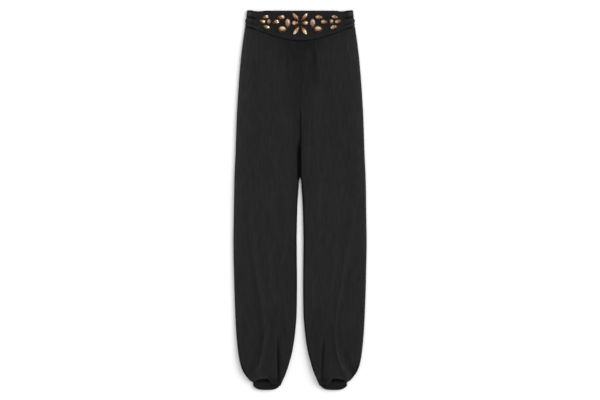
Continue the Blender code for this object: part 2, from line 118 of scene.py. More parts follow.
def new_object(name, data):
    """An object that shows this data, linked into the scene."""
    made = bpy.data.objects.new(name, data)
    bpy.context.scene.collection.objects.link(made)
    return made


def add_camera():
    data = bpy.data.cameras.new("camera")
    data.lens = LENS
    data.sensor_width = SENSOR
    camera = new_object("camera", data)
    width = PICTURE_SIZE[0] * FLOOR_PER_PIXEL
    across = (PICTURE_SIZE[0] / 2 - GARMENT_MIDDLE_IN_PICTURE[0]) * FLOOR_PER_PIXEL
    along = (GARMENT_MIDDLE_IN_PICTURE[1] - PICTURE_SIZE[1] / 2) * FLOOR_PER_PIXEL
    camera.location = (across, along, AIM_HEIGHT + width * LENS / SENSOR)
    bpy.context.scene.camera = camera
    return camera


print("camera height: %.2f m" % add_camera().location.z)

# %% [markdown]
# ## White floor and soft light
# The garment lies on a white ground that is lit so well that it comes out pure white, with a soft shadow to
# the left of every edge and below it. Three things make that light: a pale surround that is brighter near
# the horizon than overhead, a very wide soft light from the right, and the plain "Standard" view, which
# lets white be white. The surround is what brightens the cloth where it rounds away to the sides. A sun
# lamp with a wide angle is a large soft window that is far away, so its shadow is the same everywhere.

# %% Floor and light
FLOOR_SIZE = 14.0
FLOOR_LEVEL = -0.3 * MM
FLOOR_WHITE = (0.90, 0.90, 0.90, 1.0)
FLOOR_ROUGHNESS = 0.9
HORIZON_LIGHT = 1.30
OVERHEAD_LIGHT = 0.60
WINDOW_DIRECTION = (2.6, 0.9, 1.12)
WINDOW_ANGLE = math.radians(50)
WINDOW_LIGHT = 3.4


def add_floor():
    mesh = bpy.data.meshes.new("floor")
    half = FLOOR_SIZE / 2
    corners = [(x * half, y * half, FLOOR_LEVEL) for x, y in ((-1, -1), (1, -1), (1, 1), (-1, 1))]
    mesh.from_pydata(corners, [], [(0, 1, 2, 3)])
    surface = bpy.data.materials.new("floor_white")
    surface.use_nodes = True
    shader = surface.node_tree.nodes["Principled BSDF"]
    shader.inputs["Base Color"].default_value = FLOOR_WHITE
    shader.inputs["Roughness"].default_value = FLOOR_ROUGHNESS
    mesh.materials.append(surface)
    new_object("floor", mesh)


def add_surround():
    world = bpy.data.worlds.new("surround")
    world.use_nodes = True
    tree = world.node_tree
    place = tree.nodes.new("ShaderNodeTexCoord")
    parts = tree.nodes.new("ShaderNodeSeparateXYZ")
    level = tree.nodes.new("ShaderNodeMapRange")
    level.interpolation_type = "SMOOTHSTEP"
    level.inputs["To Min"].default_value = HORIZON_LIGHT
    level.inputs["To Max"].default_value = OVERHEAD_LIGHT
    tree.links.new(place.outputs["Generated"], parts.inputs[0])
    tree.links.new(parts.outputs["Z"], level.inputs["Value"])
    tree.links.new(level.outputs["Result"], tree.nodes["Background"].inputs["Strength"])
    tree.nodes["Background"].inputs["Color"].default_value = (1.0, 1.0, 1.0, 1.0)
    bpy.context.scene.world = world


def add_window():
    data = bpy.data.lights.new("soft_window", "SUN")
    data.angle = WINDOW_ANGLE
    data.energy = WINDOW_LIGHT
    window = new_object("soft_window", data)
    window.rotation_euler = (-Vector(WINDOW_DIRECTION)).to_track_quat("-Z", "Y").to_euler()


add_floor()
add_surround()
add_window()
bpy.context.scene.view_settings.view_transform = "Standard"
print("window light: %.0f degrees wide" % math.degrees(WINDOW_ANGLE))

# %% [markdown]
# ## Writing a finish like a formula
# A material is a tree of nodes, but sums are easier to read as sums. `Tone` wraps one output of a node and
# overloads plus, minus, times and divided by, so `0.7 + 0.2 * crinkle` adds the Math nodes by itself.
# `Finish` owns the material, and its `node` method makes any other node: settings first, then the values
# or links of its sockets. Numbers that are the same all over the cloth are set on the shader's own sockets.

# %% Shader formulas
class Tone:
    """One output of a node, to be used in sums."""

    def __init__(self, finish, socket):
        self.finish = finish
        self.socket = socket

    def __add__(self, other):
        return self.finish.maths("ADD", self, other)

    def __sub__(self, other):
        return self.finish.maths("SUBTRACT", self, other)

    def __rsub__(self, other):
        return self.finish.maths("SUBTRACT", other, self)

    def __mul__(self, other):
        return self.finish.maths("MULTIPLY", self, other)

    def __truediv__(self, other):
        return self.finish.maths("DIVIDE", self, other)

    __radd__ = __add__
    __rmul__ = __mul__


class Finish:
    """A material and the nodes that feed its one shader."""

    def __init__(self, name, **constants):
        self.material = bpy.data.materials.new(name)
        self.material.use_nodes = True
        self.tree = self.material.node_tree
        self.shader = self.tree.nodes["Principled BSDF"]
        for words, value in constants.items():
            self.feed(self.shader.inputs[words.replace("_", " ")], value)

    def feed(self, socket, value):
        if isinstance(value, Tone):
            self.tree.links.new(value.socket, socket)
        else:
            socket.default_value = value

    def node(self, kind, settings=None, inputs=None, output=0):
        made = self.tree.nodes.new(kind)
        for name, value in (settings or {}).items():
            if name == "stops":
                self.set_stops(made.color_ramp, value)
            else:
                setattr(made, name, value)
        for key, value in (inputs or {}).items():
            self.feed(made.inputs[key], value)
        return Tone(self, made.outputs[output])

    def set_stops(self, ramp, stops):
        while len(ramp.elements) < len(stops):
            ramp.elements.new(1.0)
        for element, (place, colour) in zip(ramp.elements, stops):
            element.position = place
            element.color = (*colour, 1.0)

    def maths(self, operation, *values):
        return self.node("ShaderNodeMath", {"operation": operation}, dict(enumerate(values)))

    def place(self):
        """The three coordinates of the surface, in the garment's own frame."""
        spot = self.node("ShaderNodeTexCoord", output="Object")
        return [self.node("ShaderNodeSeparateXYZ", None, {0: spot}, axis) for axis in "XYZ"]

    def waves(self, x, y, z, width, length, detail=2.0):
        """Soft random waves, `width` across and `length` along the garment."""
        spot = self.node("ShaderNodeCombineXYZ", None, {0: x / width, 1: y / length, 2: z / width})
        return self.node("ShaderNodeTexNoise", None, {"Vector": spot, "Scale": 1.0, "Detail": detail})

    def blend(self, share, colour_a, colour_b):
        """A colour between two others."""
        return self.node("ShaderNodeMix", {"data_type": "RGBA"}, {0: share, 6: colour_a, 7: colour_b}, 2)

    def surface(self, colour=None, roughness=None, bumps=()):
        """Feeds what changes over the surface; each bump is (height in metres, strength)."""
        if colour is not None:
            self.feed(self.shader.inputs["Base Color"], colour)
        if roughness is not None:
            self.feed(self.shader.inputs["Roughness"], roughness)
        normal = None
        for height, strength in bumps:
            sockets = {"Height": height, "Distance": 1.0, "Strength": strength}
            if normal is not None:
                sockets["Normal"] = normal
            normal = self.node("ShaderNodeBump", None, sockets)
        if normal is not None:
            self.feed(self.shader.inputs["Normal"], normal)


print("shader helpers ready")

# %% [markdown]
# ## Black crinkled jersey
# The cloth is a thin knit that was pressed into fine uneven creases along the leg. Close to, a knit is rows
# of little Vs: here they are a sine along the leg that is bent by a sine across it. The creases are long
# narrow noise. Black cloth reflects one or two hundredths of the light and hardly shines, so its specular
# level is low, and a faint sheen stands for the fuzz that catches light where the cloth turns away. Each
# point of the cloth also carries a number named "shade" that scales the colour and so paints light into it:
# 1 is plain cloth, less is painted shade in the depth of a fold or a seam where little light gets in, and
# more is a painted highlight on ridges and on rims that turn away.

# %% Jersey
WALE = 0.95 * MM            # width of one column of knit loops
COURSE = 0.75 * MM          # height of one row of loops
KNIT_RISE = 0.10 * MM
LOOP_BEND = 2.4             # how far a loop's two legs slope, in radians of the row's wave
CREASE_SIZE = (5.0 * MM, 30 * MM)       # width and length of the pressed creases
MOTTLE_SIZE = (34 * MM, 90 * MM)        # and of the slow changes in tone


def knit(finish, x, y):
    """Height of a plain knit's loops, 0 to 1."""
    wale = finish.maths("ABSOLUTE", finish.maths("SINE", x * (math.pi / WALE)))
    row = finish.maths("SINE", y * (2 * math.pi / COURSE) + wale * LOOP_BEND)
    return (0.5 + 0.5 * row) * (0.35 + 0.65 * wale)


def grey(level):
    return (level, level, level, 1.0)


def jersey(name, dark, light, crinkle_rise=0.28 * MM, seed_shift=0.0):
    """A black cloth between two greys, with knit loops and creases of a height in metres."""
    finish = Finish(name, Specular_IOR_Level=0.04, Sheen_Weight=0.02, Sheen_Roughness=0.45)
    x, y, z = finish.place()
    shifted = z + seed_shift
    crinkle = finish.waves(x, y, shifted, *CREASE_SIZE, 3.0)
    mottle = finish.waves(x, y, shifted, *MOTTLE_SIZE)
    tone = 1.5 * crinkle + 0.7 * mottle - 0.6
    share = finish.maths("MINIMUM", finish.maths("MAXIMUM", tone, 0.0), 1.0)
    # painted shade and painted highlight: each point's "shade" number scales the cloth's colour
    shade = finish.node("ShaderNodeAttribute", {"attribute_name": "shade"}, output="Fac")
    plain = finish.blend(share, grey(dark), grey(light))
    finish.surface(
        colour=finish.node("ShaderNodeVectorMath", {"operation": "SCALE"}, {0: plain, "Scale": shade}),
        roughness=0.72 + 0.2 * mottle,
        bumps=((knit(finish, x, y) * KNIT_RISE, 0.6), (crinkle * crinkle_rise, 0.8)),
    )
    return finish.material


LEG_JERSEY = jersey("crinkled_jersey", 0.0112, 0.0176)
YOKE_CLOTH = jersey("smooth_yoke_cloth", 0.0097, 0.0146, 0.12 * MM, 0.31)
BAND_CLOTH = jersey("elastic_band_cloth", 0.0108, 0.0172, 0.30 * MM, 0.57)
CUFF_CLOTH = jersey("cuff_cloth", 0.0072, 0.0118, 0.30 * MM, 0.83)
print("cloth finishes:", LEG_JERSEY.name, YOKE_CLOTH.name, BAND_CLOTH.name, CUFF_CLOTH.name)

# %% [markdown]
# ## From rows of points to a piece of cloth
# Every panel is a wall with an outer and an inner side. A grid of points in rows is the simplest way to
# say where cloth lies: one grid for each side, joined along the edges. `cloth` builds such a wall. `piece`
# smooths its shading and ties it to the construction model: it rides on the one body and stands for its
# node.

# %% Cloth walls
CUT_EDGE_ANGLE = math.radians(65)   # only the cut edges of the cloth are shaded sharp


def grid_faces(rows, columns, tube):
    """Faces of a wall between two grids of points; a tube's last column joins its first."""
    grid = np.arange(rows * columns).reshape(rows, columns)
    sides = [] if tube else [grid[:, 0], grid[:, -1]]
    if tube:
        grid = np.hstack((grid, grid[:, :1]))
    outer = np.stack([grid[:-1, :-1], grid[:-1, 1:], grid[1:, 1:], grid[1:, :-1]], axis=-1).reshape(-1, 4)
    other = rows * columns
    faces = [outer, outer[:, ::-1] + other]
    for edge in (grid[0], grid[-1], *sides):
        faces.append(np.stack([edge[:-1], edge[1:], edge[1:] + other, edge[:-1] + other], axis=-1))
    return np.concatenate(faces).tolist()


def piece(name, points, faces, finish, sharp_angle, slot, nodes):
    """One finished piece of the garment, which stands for nodes of the construction model."""
    mesh = bpy.data.meshes.new(name)
    mesh.from_pydata(points, [], faces)
    form = bmesh.new()
    form.from_mesh(mesh)
    bmesh.ops.recalc_face_normals(form, faces=form.faces)
    form.to_mesh(mesh)
    form.free()
    mesh.shade_smooth()
    mesh.set_sharp_from_angle(angle=sharp_angle)
    mesh.materials.append(finish)
    made = new_object(name, mesh)
    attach(made, "root")
    if nodes:
        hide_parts(*nodes)
    return made


def cloth(name, outside, inside, shades, finish, slot, node, tube=False):
    """A wall of cloth between two grids of points, and how light it is at each of them."""
    outside, inside = np.array(outside), np.array(inside)
    rows, columns = outside.shape[:2]
    points = np.concatenate((outside.reshape(-1, 3), inside.reshape(-1, 3))).tolist()
    made = piece(name, points, grid_faces(rows, columns, tube), finish, CUT_EDGE_ANGLE, slot, [node])
    # painted shade and painted highlight of each point, which the finish multiplies into the colour
    layer = made.data.attributes.new("shade", "FLOAT", "POINT")
    layer.data.foreach_set("value", np.tile(np.ravel(shades), 2).astype(np.float32))
    area = sum(face.area for face in made.data.polygons) / 2
    print("%s: %d faces, %.4f m2 of cloth" % (name, len(made.data.polygons), area))
    return made


# %% [markdown]
# ## The cut of a leg
# A leg changes all the way down: it widens from the hip, balloons below the knee and closes to the cuff.
# A table with one row for each cross section holds that, and a smooth curve fills in between the rows. The
# numbers are the construction model's, except that the two fronts meet exactly in the middle here, down to
# where the legs part, while the model's solids stand a hair apart. Two guide lines, "crease" and "fold",
# carry the folds.

# %% Cross sections of a leg
# All in millimetres, but "lean" is in degrees: how far the cloth has turned over at the roll.
Cut = namedtuple("Cut", "down outer inner crease fold top wall lip lean")
LEG_CUTS = [
    Cut(46, 153.8, 0.0, 52, 104, 4.6, 1.5, 2.6, 0),
    Cut(84, 159.4, 0.0, 54, 110, 4.8, 1.5, 2.6, 0),
    Cut(140, 166.2, 0.0, 57, 120, 5.2, 1.5, 2.6, 0),
    Cut(224, 172.9, 0.0, 60, 134, 5.6, 1.5, 2.6, 0),
    Cut(308, 177.6, 0.0, 62, 146, 6.2, 1.5, 3.6, 0),
    Cut(366, 179.6, 0.0, 63, 152, 6.4, 1.5, 5.0, 0),
    Cut(392, 180.4, 0.0, 63, 154, 6.5, 1.5, 7.0, 0),
    Cut(466, 183.7, 0.0, 63, 156, 6.5, 1.5, 7.0, 0),
    Cut(474, 183.9, 2.10, 63, 156, 6.5, 1.5, 6.0, 0),
    Cut(504, 184.6, 4.50, 63, 152, 6.5, 1.5, 6.0, 0),
    Cut(560, 185.3, 7.60, 63, 146, 6.5, 1.5, 6.0, 0),
    Cut(650, 186.6, 9.20, 63, 134, 6.5, 1.5, 6.0, 0),
    Cut(756, 184.6, 8.30, 63, 118, 6.6, 1.5, 6.0, 0),
    Cut(840, 181.8, 9.00, 63, 104, 7.0, 1.5, 6.0, 0),
    Cut(896, 179.0, 12.9, 63, 98.5, 7.8, 1.6, 6.0, 0),
    Cut(952, 174.0, 21.0, 62, 103, 9.2, 1.9, 6.0, 0),
    Cut(980, 169.5, 28.0, 61, 109.5, 10.2, 2.1, 6.0, 0),
    Cut(996, 165.2, 33.2, 60.5, 115, 10.8, 2.2, 6.0, 0),
    Cut(1008, 159.4, 38.5, 60, 121, 11.2, 2.2, 6.0, 0),
    Cut(1019, 151.0, 44.2, 60, 125, 11.4, 2.2, 6.0, 0),
    Cut(1030, 142.0, 50.2, 60, 126, 11.2, 2.2, 6.0, 10),
]

# The cloth rolls over the upper edge of the cuff and is tucked back under itself.
ROLL_CUTS = [
    Cut(1036.0, 136.0, 53.0, 61, 124, 10.4, 2.2, 6.0, 50),
    Cut(1039.4, 133.6, 54.4, 63, 122, 9.0, 2.2, 6.0, 90),
    Cut(1038.4, 133.6, 54.4, 64, 121, 7.0, 2.2, 6.0, 120),
]
ROLL_LEAN = ROLL_CUTS[-1].lean


def in_metres(cut):
    return Cut(*[value * MM for value in cut[:-1]], cut.lean)


def smooth_values(low, high, before, after, share):
    """Value between two table rows on a curve that never swings past them."""
    step = high[0] - low[0]
    middle = (high[1] - low[1]) / step
    slopes = []
    for first, second in ((before, low), (high, after)):
        side = (second[1] - first[1]) / (second[0] - first[0]) if second[0] > first[0] else middle
        slopes.append(2 * side * middle / (side + middle) if side * middle > 0 else 0.0)
    cube, square = share ** 3, share ** 2
    return ((2 * cube - 3 * square + 1) * low[1] + (cube - 2 * square + share) * step * slopes[0]
            + (3 * square - 2 * cube) * high[1] + (cube - square) * step * slopes[1])


def cut_at(down):
    """The leg's cross section at a distance below the waist, both in millimetres, as metres."""
    place = min(max(down, LEG_CUTS[0].down), LEG_CUTS[-1].down)
    index = max(i for i, row in enumerate(LEG_CUTS[:-1]) if row.down <= place)
    low, high = LEG_CUTS[index], LEG_CUTS[index + 1]
    before = LEG_CUTS[max(index - 1, 0)]
    after = LEG_CUTS[min(index + 2, len(LEG_CUTS) - 1)]
    share = (place - low.down) / (high.down - low.down)
    values = [smooth_values((low.down, low[c]), (high.down, high[c]), (before.down, before[c]),
                            (after.down, after[c]), share) for c in range(1, len(low))]
    return in_metres(Cut(down, *values))


def roll_cuts(steps):
    """Cross sections round the roll over the cuff, on a soft curve through its rows."""
    rows = [LEG_CUTS[-2], LEG_CUTS[-1], *ROLL_CUTS, ROLL_CUTS[-1]]
    cuts = []
    for index in range(1, len(rows) - 2):
        for step in range(1, steps + 1):
            t = step / steps
            weights = (-0.5 * t ** 3 + t ** 2 - 0.5 * t, 1.5 * t ** 3 - 2.5 * t ** 2 + 1,
                       -1.5 * t ** 3 + 2 * t ** 2 + 0.5 * t, 0.5 * t ** 3 - 0.5 * t ** 2)
            near = rows[index - 1:index + 3]
            values = [sum(w * row[c] for w, row in zip(weights, near)) for c in range(len(Cut._fields))]
            cuts.append(in_metres(Cut(*values)))
    return cuts


print("leg table: %d cross sections" % (len(LEG_CUTS) + len(ROLL_CUTS)))

# %% [markdown]
# ## Large folds
# Three sizes of relief lie on top of each other, and the large folds come first. They are the construction
# model's own: the long ridge down the outer leg that swings out to the cuff, the deep crease above the
# cuff, and a few soft swells. Each row says on which leg a fold lies and which guide line it follows, then,
# in millimetres, where it starts and ends, how far beside the line it runs at both ends, its half width
# and its rise. The last column paints shade or a highlight into the cloth's colour there.

# %% Large folds
Fold = namedtuple("Fold", "leg guide start end from_offset to_offset half_width rise shade",
                  defaults=(0.0,))
FOLDS = [
    Fold("both", "fold", 455, 905, 1, 0, 15, 1.1),        # long soft ridge down the outer leg
    Fold("both", "fold", 860, 1075, 0, 0, 13, 1.5),       # its end, which swings out to the cuff
    Fold("both", "fold", 930, 1045, 24, 19, 16, -0.9),    # hollow between that ridge and the side
    Fold("both", "crease", 905, 1062, 1, 2, 8, -2.0),     # deep crease above the cuff
    Fold("both", "crease", 895, 1062, -10, -8, 8, 0.6),   # lip on the inner side of the crease
    Fold("both", "crease", 820, 900, 2, 2, 16, 0.5),      # swelling where the crease starts
    Fold("both", "crease", 955, 1080, 22, 20, 13, 0.7),   # swelling between the crease and the ridge
    Fold("both", "fold", 560, 860, -38, -30, 17, 0.7),    # low swell inside the long ridge
    Fold("both", "crease", 92, 185, -8, -8, 9, 0.6),      # small gathers below the yoke
    Fold("both", "crease", 80, 150, 34, 36, 11, 0.5),
    Fold("left", "crease", 92, 265, -22, -50, 9, -0.6),
    Fold("right", "crease", 88, 200, -34, -38, 9, -0.5),
    Fold("left", "fold", 250, 360, -28, -22, 16, -0.5),
    Fold("right", "fold", 240, 345, -20, -14, 16, -0.5),
    Fold("left", "crease", 420, 640, -18, -10, 16, 0.6),
    Fold("right", "crease", 500, 760, -16, -20, 16, 0.6),
]
FOLD_FADE = 0.28                # share of a fold's length over which it rises or falls away


def fold_sum(leg, cut, across, rows, column):
    """What a table of folds adds along a cross section: its "rise" in millimetres, or its painted "shade".
    """
    total = np.zeros_like(across)
    down = cut.down / MM
    for fold in rows:
        if fold.leg not in ("both", leg) or not fold.start < down < fold.end:
            continue
        share = (down - fold.start) / (fold.end - fold.start)
        line = getattr(cut, fold.guide) / MM + between(fold.from_offset, fold.to_offset, share)
        strength = ease(share / FOLD_FADE) * ease((1 - share) / FOLD_FADE)
        total += getattr(fold, column) * strength * bell((across / MM - line) / fold.half_width)
    return total


print("large folds: %d" % len(FOLDS))

# %% [markdown]
# ## Small creases and the fine crinkle
# Small creases are listed one by one, each with its own length, width and depth, so that none repeats. Some
# also paint light into the cloth's colour: a painted highlight on crests, and painted shade in the bottoms
# of creases. The crinkle is long narrow noise, strongest where the cloth is gathered into the waist and the
# cuff.

# %% Small creases and crinkle
# The last column is painted shade where it is below 0 and a painted highlight where it is above 0.
CREASES = [
    Fold("both", "crease", 905, 1044, 0.8, 2.0, 3.6, -0.8, -0.42),      # sharp bottom of the deep crease
    Fold("both", "crease", 930, 1050, -2.4, -1.6, 6, 0.0, -0.18),       # the softer shade on its inner side
    Fold("both", "fold", 590, 960, 0, 0, 4.0, 0.35, 0.17),              # crest of the long ridge
    Fold("both", "fold", 905, 1026, 0, 1, 4.4, 0.5, 0.36),
    Fold("both", "fold", 985, 1040, -5, 29, 5.5, 0.8, 0.20),            # the crest's end, out to the side
    Fold("both", "fold", 690, 1010, 14, 11, 11, 0.0, -0.11),            # painted shade on the darker side of that crest
    Fold("both", "fold", 940, 1040, 24, 21, 15, -0.5, -0.15),           # hollow behind the crest's end
    Fold("left", "crease", 50, 245, -19, -16, 12, -0.5, -0.18),         # dull fold from the yoke down
    Fold("left", "crease", 82, 190, 10, 16, 4, -0.4, -0.06),
    Fold("right", "crease", 82, 168, 8, 3, 4, -0.4, -0.06),
    Fold("left", "crease", 84, 150, -14, -20, 4, -0.4, -0.05),
    Fold("right", "crease", 84, 240, -18, -27, 4, -0.4, -0.06),
    Fold("left", "crease", 78, 132, 26, 28, 4, -0.4, -0.05),
    Fold("right", "crease", 78, 146, 22, 20, 4, -0.4, -0.05),
    Fold("both", "crease", 70, 120, 48, 50, 5, -0.4, -0.05),
    Fold("left", "fold", 60, 170, 18, 20, 5, 0.4, 0.05),
    Fold("right", "fold", 60, 210, 22, 18, 5, 0.4, 0.05),
    Fold("left", "crease", 150, 330, 30, 38, 6, 0.35, 0.04),
    Fold("right", "crease", 190, 400, 24, 36, 6, 0.35, 0.04),
    Fold("left", "crease", 260, 480, -30, -34, 6, -0.35),
    Fold("right", "crease", 300, 455, -28, -24, 6, -0.35),
    Fold("left", "fold", 330, 520, -20, -24, 6, -0.35),
    Fold("right", "fold", 380, 560, -24, -16, 6, -0.35),
    Fold("left", "crease", 560, 800, 16, 22, 6, -0.3),
    Fold("right", "crease", 600, 780, 20, 14, 6, -0.3),
    Fold("left", "crease", 680, 905, -34, -22, 6, 0.35),
    Fold("right", "crease", 640, 880, -30, -24, 6, 0.35),
    Fold("both", "fold", 820, 990, -14, -12, 5, -0.3),
    Fold("left", "crease", 940, 1075, 27, 25, 4, -0.3, -0.04),
    Fold("right", "crease", 950, 1075, 25, 24, 4, -0.3, -0.04),
]

Waves = namedtuple("Waves", "width length seed")
CRINKLE = Waves(5.2 * MM, 38 * MM, 0)
CRINKLE_RISE = 0.20 * MM
SWELL = Waves(17 * MM, 120 * MM, 7)
SWELL_RISE = 0.32 * MM
GATHER = Waves(3.6 * MM, 240 * MM, 13)
WAIST_GATHER_RISE = 0.55 * MM
WAIST_GATHER_REACH = 150 * MM
CUFF_GATHER_RISE = 0.30 * MM
CUFF_GATHER_REACH = 60 * MM


def random_waves(across, down, waves, seed):
    """Soft random waves from -1 to 1 at points of one cross section."""
    return np.array([noise.noise((a / waves.width, down / waves.length, seed + waves.seed)) for a in across])


def crinkle(across, down, seed):
    """The fine creases of the cloth, deeper near the waist seam and near the cuff."""
    fine, swell, gather = (random_waves(across, down, waves, seed) for waves in (CRINKLE, SWELL, GATHER))
    waist = ease(1 - (down - PANEL_START) / WAIST_GATHER_REACH) * WAIST_GATHER_RISE
    cuff = ease(1 - (CUFF_START - down) / CUFF_GATHER_REACH) * CUFF_GATHER_RISE
    return fine * CRINKLE_RISE + swell * SWELL_RISE + gather * (waist + cuff)


print("small creases: %d" % len(CREASES))

# %% [markdown]
# ## Front panels of the legs
# A front panel rises from the side seam in a soft quarter turn, runs flat over the back panel and turns down
# again at the inner edge. Above the crotch the two fronts meet in the middle seam, so there the inner edge
# only dips a little. The cross sections follow the curved yoke seam at the top and droop beside the cuff.

# %% Where the cloth of a leg lies
CUFF_MIDDLE = 94.0 * MM
SEAM_LEVEL = 3.0 * MM           # height of the side and inner leg seams above the table
SIDE_ROUND = 6.0 * MM
CROTCH_DOWN = 286 * MM
CROTCH_TURN = 13 * MM
RISE_TURN = 0.04                # share of the inner edge's turn that is left above the crotch
BAND_DEPTH_AT_SIDE = 46.2 * MM
BAND_EXTRA_IN_MIDDLE = 38.4 * MM
BAND_CURVE_HALF = 150 * MM
BAND_CURVE_POWER = 1.2
YOKE_CURVE_FADE = 115 * MM
DROOP_OUTER = 6 * MM            # how much lower the blousing hangs beside a cuff than on its middle
DROOP_HALF = 44 * MM
DROOP_INNER = 10.5 * MM         # the same on the side towards the other leg, where it sags at once
DROOP_INNER_FROM = 88 * MM
DROOP_INNER_WIDTH = 18 * MM
DROOP_START = 980 * MM
LIFT = 9.5 * MM                 # how far the elastic of a cuff pulls the blousing's edge up
LIFT_START = 1002 * MM
LIFT_SPAN = (82 * MM, 91 * MM, 92 * MM, 162 * MM)   # it grows over the first stretch, fades over the last

FRONT_SPANS = (28, 38, 32)      # steps from the side to the fold, to the crease, to the inner edge
FRONT_ROW_STEP = 3.6            # millimetres
ROLL_STEPS = 5
TURN_ANGLES = np.radians([0, 4, 12, 24, 38, 52, 66, 79])
SEAM_TUCK = np.array([0.8, 0.25, 0, 0, 0, 0, 0, 0]) * MM    # how far the cloth turns in at a seam
TUCK_FROM = 1.5 * MM            # the inner edges turn in only where the legs lie further apart than this
WAIST_SEAM_DIP = 1.3 * MM       # groove where a leg is sewn to the waistband
WAIST_SEAM_WIDTH = 5 * MM
MIDDLE_SEAM_DIP = 0.2 * MM      # groove of the middle seam above the crotch
MIDDLE_SEAM_WIDTH = 3.5 * MM


def waist_seam(across):
    """How far below the waist the seam under the waistband runs, at a distance from the middle."""
    bend = np.cos(np.pi / 2 * np.minimum(np.abs(across) / BAND_CURVE_HALF, 1.0))
    return BAND_DEPTH_AT_SIDE + BAND_EXTRA_IN_MIDDLE * np.maximum(bend, 0.0) ** BAND_CURVE_POWER


def grain_down(across, down):
    """Where a cross section runs: along the curved seam at the top, and drooping beside the cuff."""
    straight = ease((down - BAND_DEPTH_AT_SIDE) / YOKE_CURVE_FADE)
    curved = (waist_seam(across) - BAND_DEPTH_AT_SIDE) * (1 - straight)
    place = np.abs(across)
    outer = DROOP_OUTER * np.clip((place - CUFF_MIDDLE) / DROOP_HALF, 0.0, 1.0) ** 3
    inner = DROOP_INNER * ease((DROOP_INNER_FROM - place) / DROOP_INNER_WIDTH)
    droop = (outer + inner) * ease((down - DROOP_START) / (CUFF_START - DROOP_START))
    rise_from, rise_to, fall_from, fall_to = LIFT_SPAN
    grown = ease((place - rise_from) / (rise_to - rise_from))
    kept = ease((fall_to - place) / (fall_to - fall_from))
    pulled = LIFT * grown * kept * ease((down - LIFT_START) / (CUFF_START - LIFT_START))
    return down + curved + droop - pulled


def crotch_turn(down):
    """How far the inner edge is turned down: hardly above the crotch, fully below it."""
    share = (down - (CROTCH_DOWN - CROTCH_TURN)) / (2 * CROTCH_TURN)
    return between(RISE_TURN, 1.0, ease(share))


def panel_row(cut, rim, level, shrink, spans, relief):
    """Points of one cross section, from the side seam to the inner seam: across and height."""
    turn = crotch_turn(cut.down)
    outer, inner = cut.outer - shrink, cut.inner + turn * shrink
    reach, lip = SIDE_ROUND - shrink, cut.lip - shrink
    knots = (outer - reach, cut.fold, cut.crease, inner + lip)
    flat = [np.linspace(start, end, steps, endpoint=False)
            for start, end, steps in zip(knots, knots[1:], spans)]
    side = outer - reach * (1 - np.cos(TURN_ANGLES)) - SEAM_TUCK
    tuck = SEAM_TUCK[::-1] * ease((cut.inner - TUCK_FROM) / TUCK_FROM)
    inside_leg = inner + lip * (1 - np.cos(TURN_ANGLES[::-1])) + tuck
    across = np.concatenate((side, *flat, [knots[-1]], inside_leg))
    top = level + relief(across)
    height = top.copy()
    count = len(TURN_ANGLES)
    height[:count] = rim + (top[:count] - rim) * np.sin(TURN_ANGLES)
    height[-count:] = top[-count:] - turn * (top[-count:] - rim) * (1 - np.sin(TURN_ANGLES[::-1]))
    return across, height


# %% [markdown]
# ## Light and dark places
# Less light gets between the pressed legs, into a crease or under the yoke, and the rims where the cloth
# turns down at the sides look paler. Here that light is painted into the cloth's colour: painted shade in
# those dark places and a painted highlight on the rims. Tables hold these places: along the edges, at a few
# round patches and, in the tables above, at single folds. `front_shade` adds them all up.

# %% Light and dark places of the front
# Millimetres down, then five columns: wide painted highlight along the side, narrow painted highlight,
# painted shadow line, painted shade of the slit between the legs and the slit's width.
EDGE_SHADES = np.array([
    (46, 0.12, 0.20, 0.0, 0.0, 6.0),
    (90, 0.28, 0.30, 0.0, 0.0, 6.0),
    (250, 0.26, 0.30, 0.0, 0.0, 8.0),
    (304, 0.26, 0.26, 0.0, -0.26, 8.0),
    (356, 0.26, 0.22, 0.0, -0.42, 8.5),
    (374, 0.26, 0.20, 0.0, -0.80, 8.5),
    (390, 0.26, 0.20, 0.0, -1.55, 8.8),
    (466, 0.25, 0.20, 0.0, -1.55, 8.8),
    (478, 0.25, 0.24, 0.0, -0.9, 8.0),
    (640, 0.14, 0.24, 0.0, -0.85, 8.0),
    (740, 0.04, 0.18, 0.0, -0.75, 8.0),
    (960, 0.0, 0.0, 0.0, -0.55, 7.0),
    (980, 0.0, 0.0, -0.3, -0.50, 6.0),
    (994, 0.0, 0.0, -0.9, -0.55, 6.0),
    (1008, 0.0, 0.0, -0.9, -0.55, 6.0),
    (1015, 0.0, 0.0, -1.3, -0.50, 6.0),
    (1022, 0.0, 0.0, 0.0, -0.45, 6.0),
])
WIDE_RIM_REACH = 46 * MM
RIM_REACH = 11 * MM             # width of the painted highlight along the side, where the cloth turns away
RIM_TURNED_AWAY = 2.1           # that painted highlight is stronger on the side away from the window
LINE_REACH = 9 * MM             # width of the painted shadow line under the balloon's lower corner
SLIT_LEAN = 2.4 * MM            # the painted shade of the slit between the pressed legs leans to the wearer's right
SLIT_LEAN_FROM = 360 * MM
SLIT_LEAN_RISE = 20 * MM
Patch = namedtuple("Patch", "leg across down half_width half_length change")
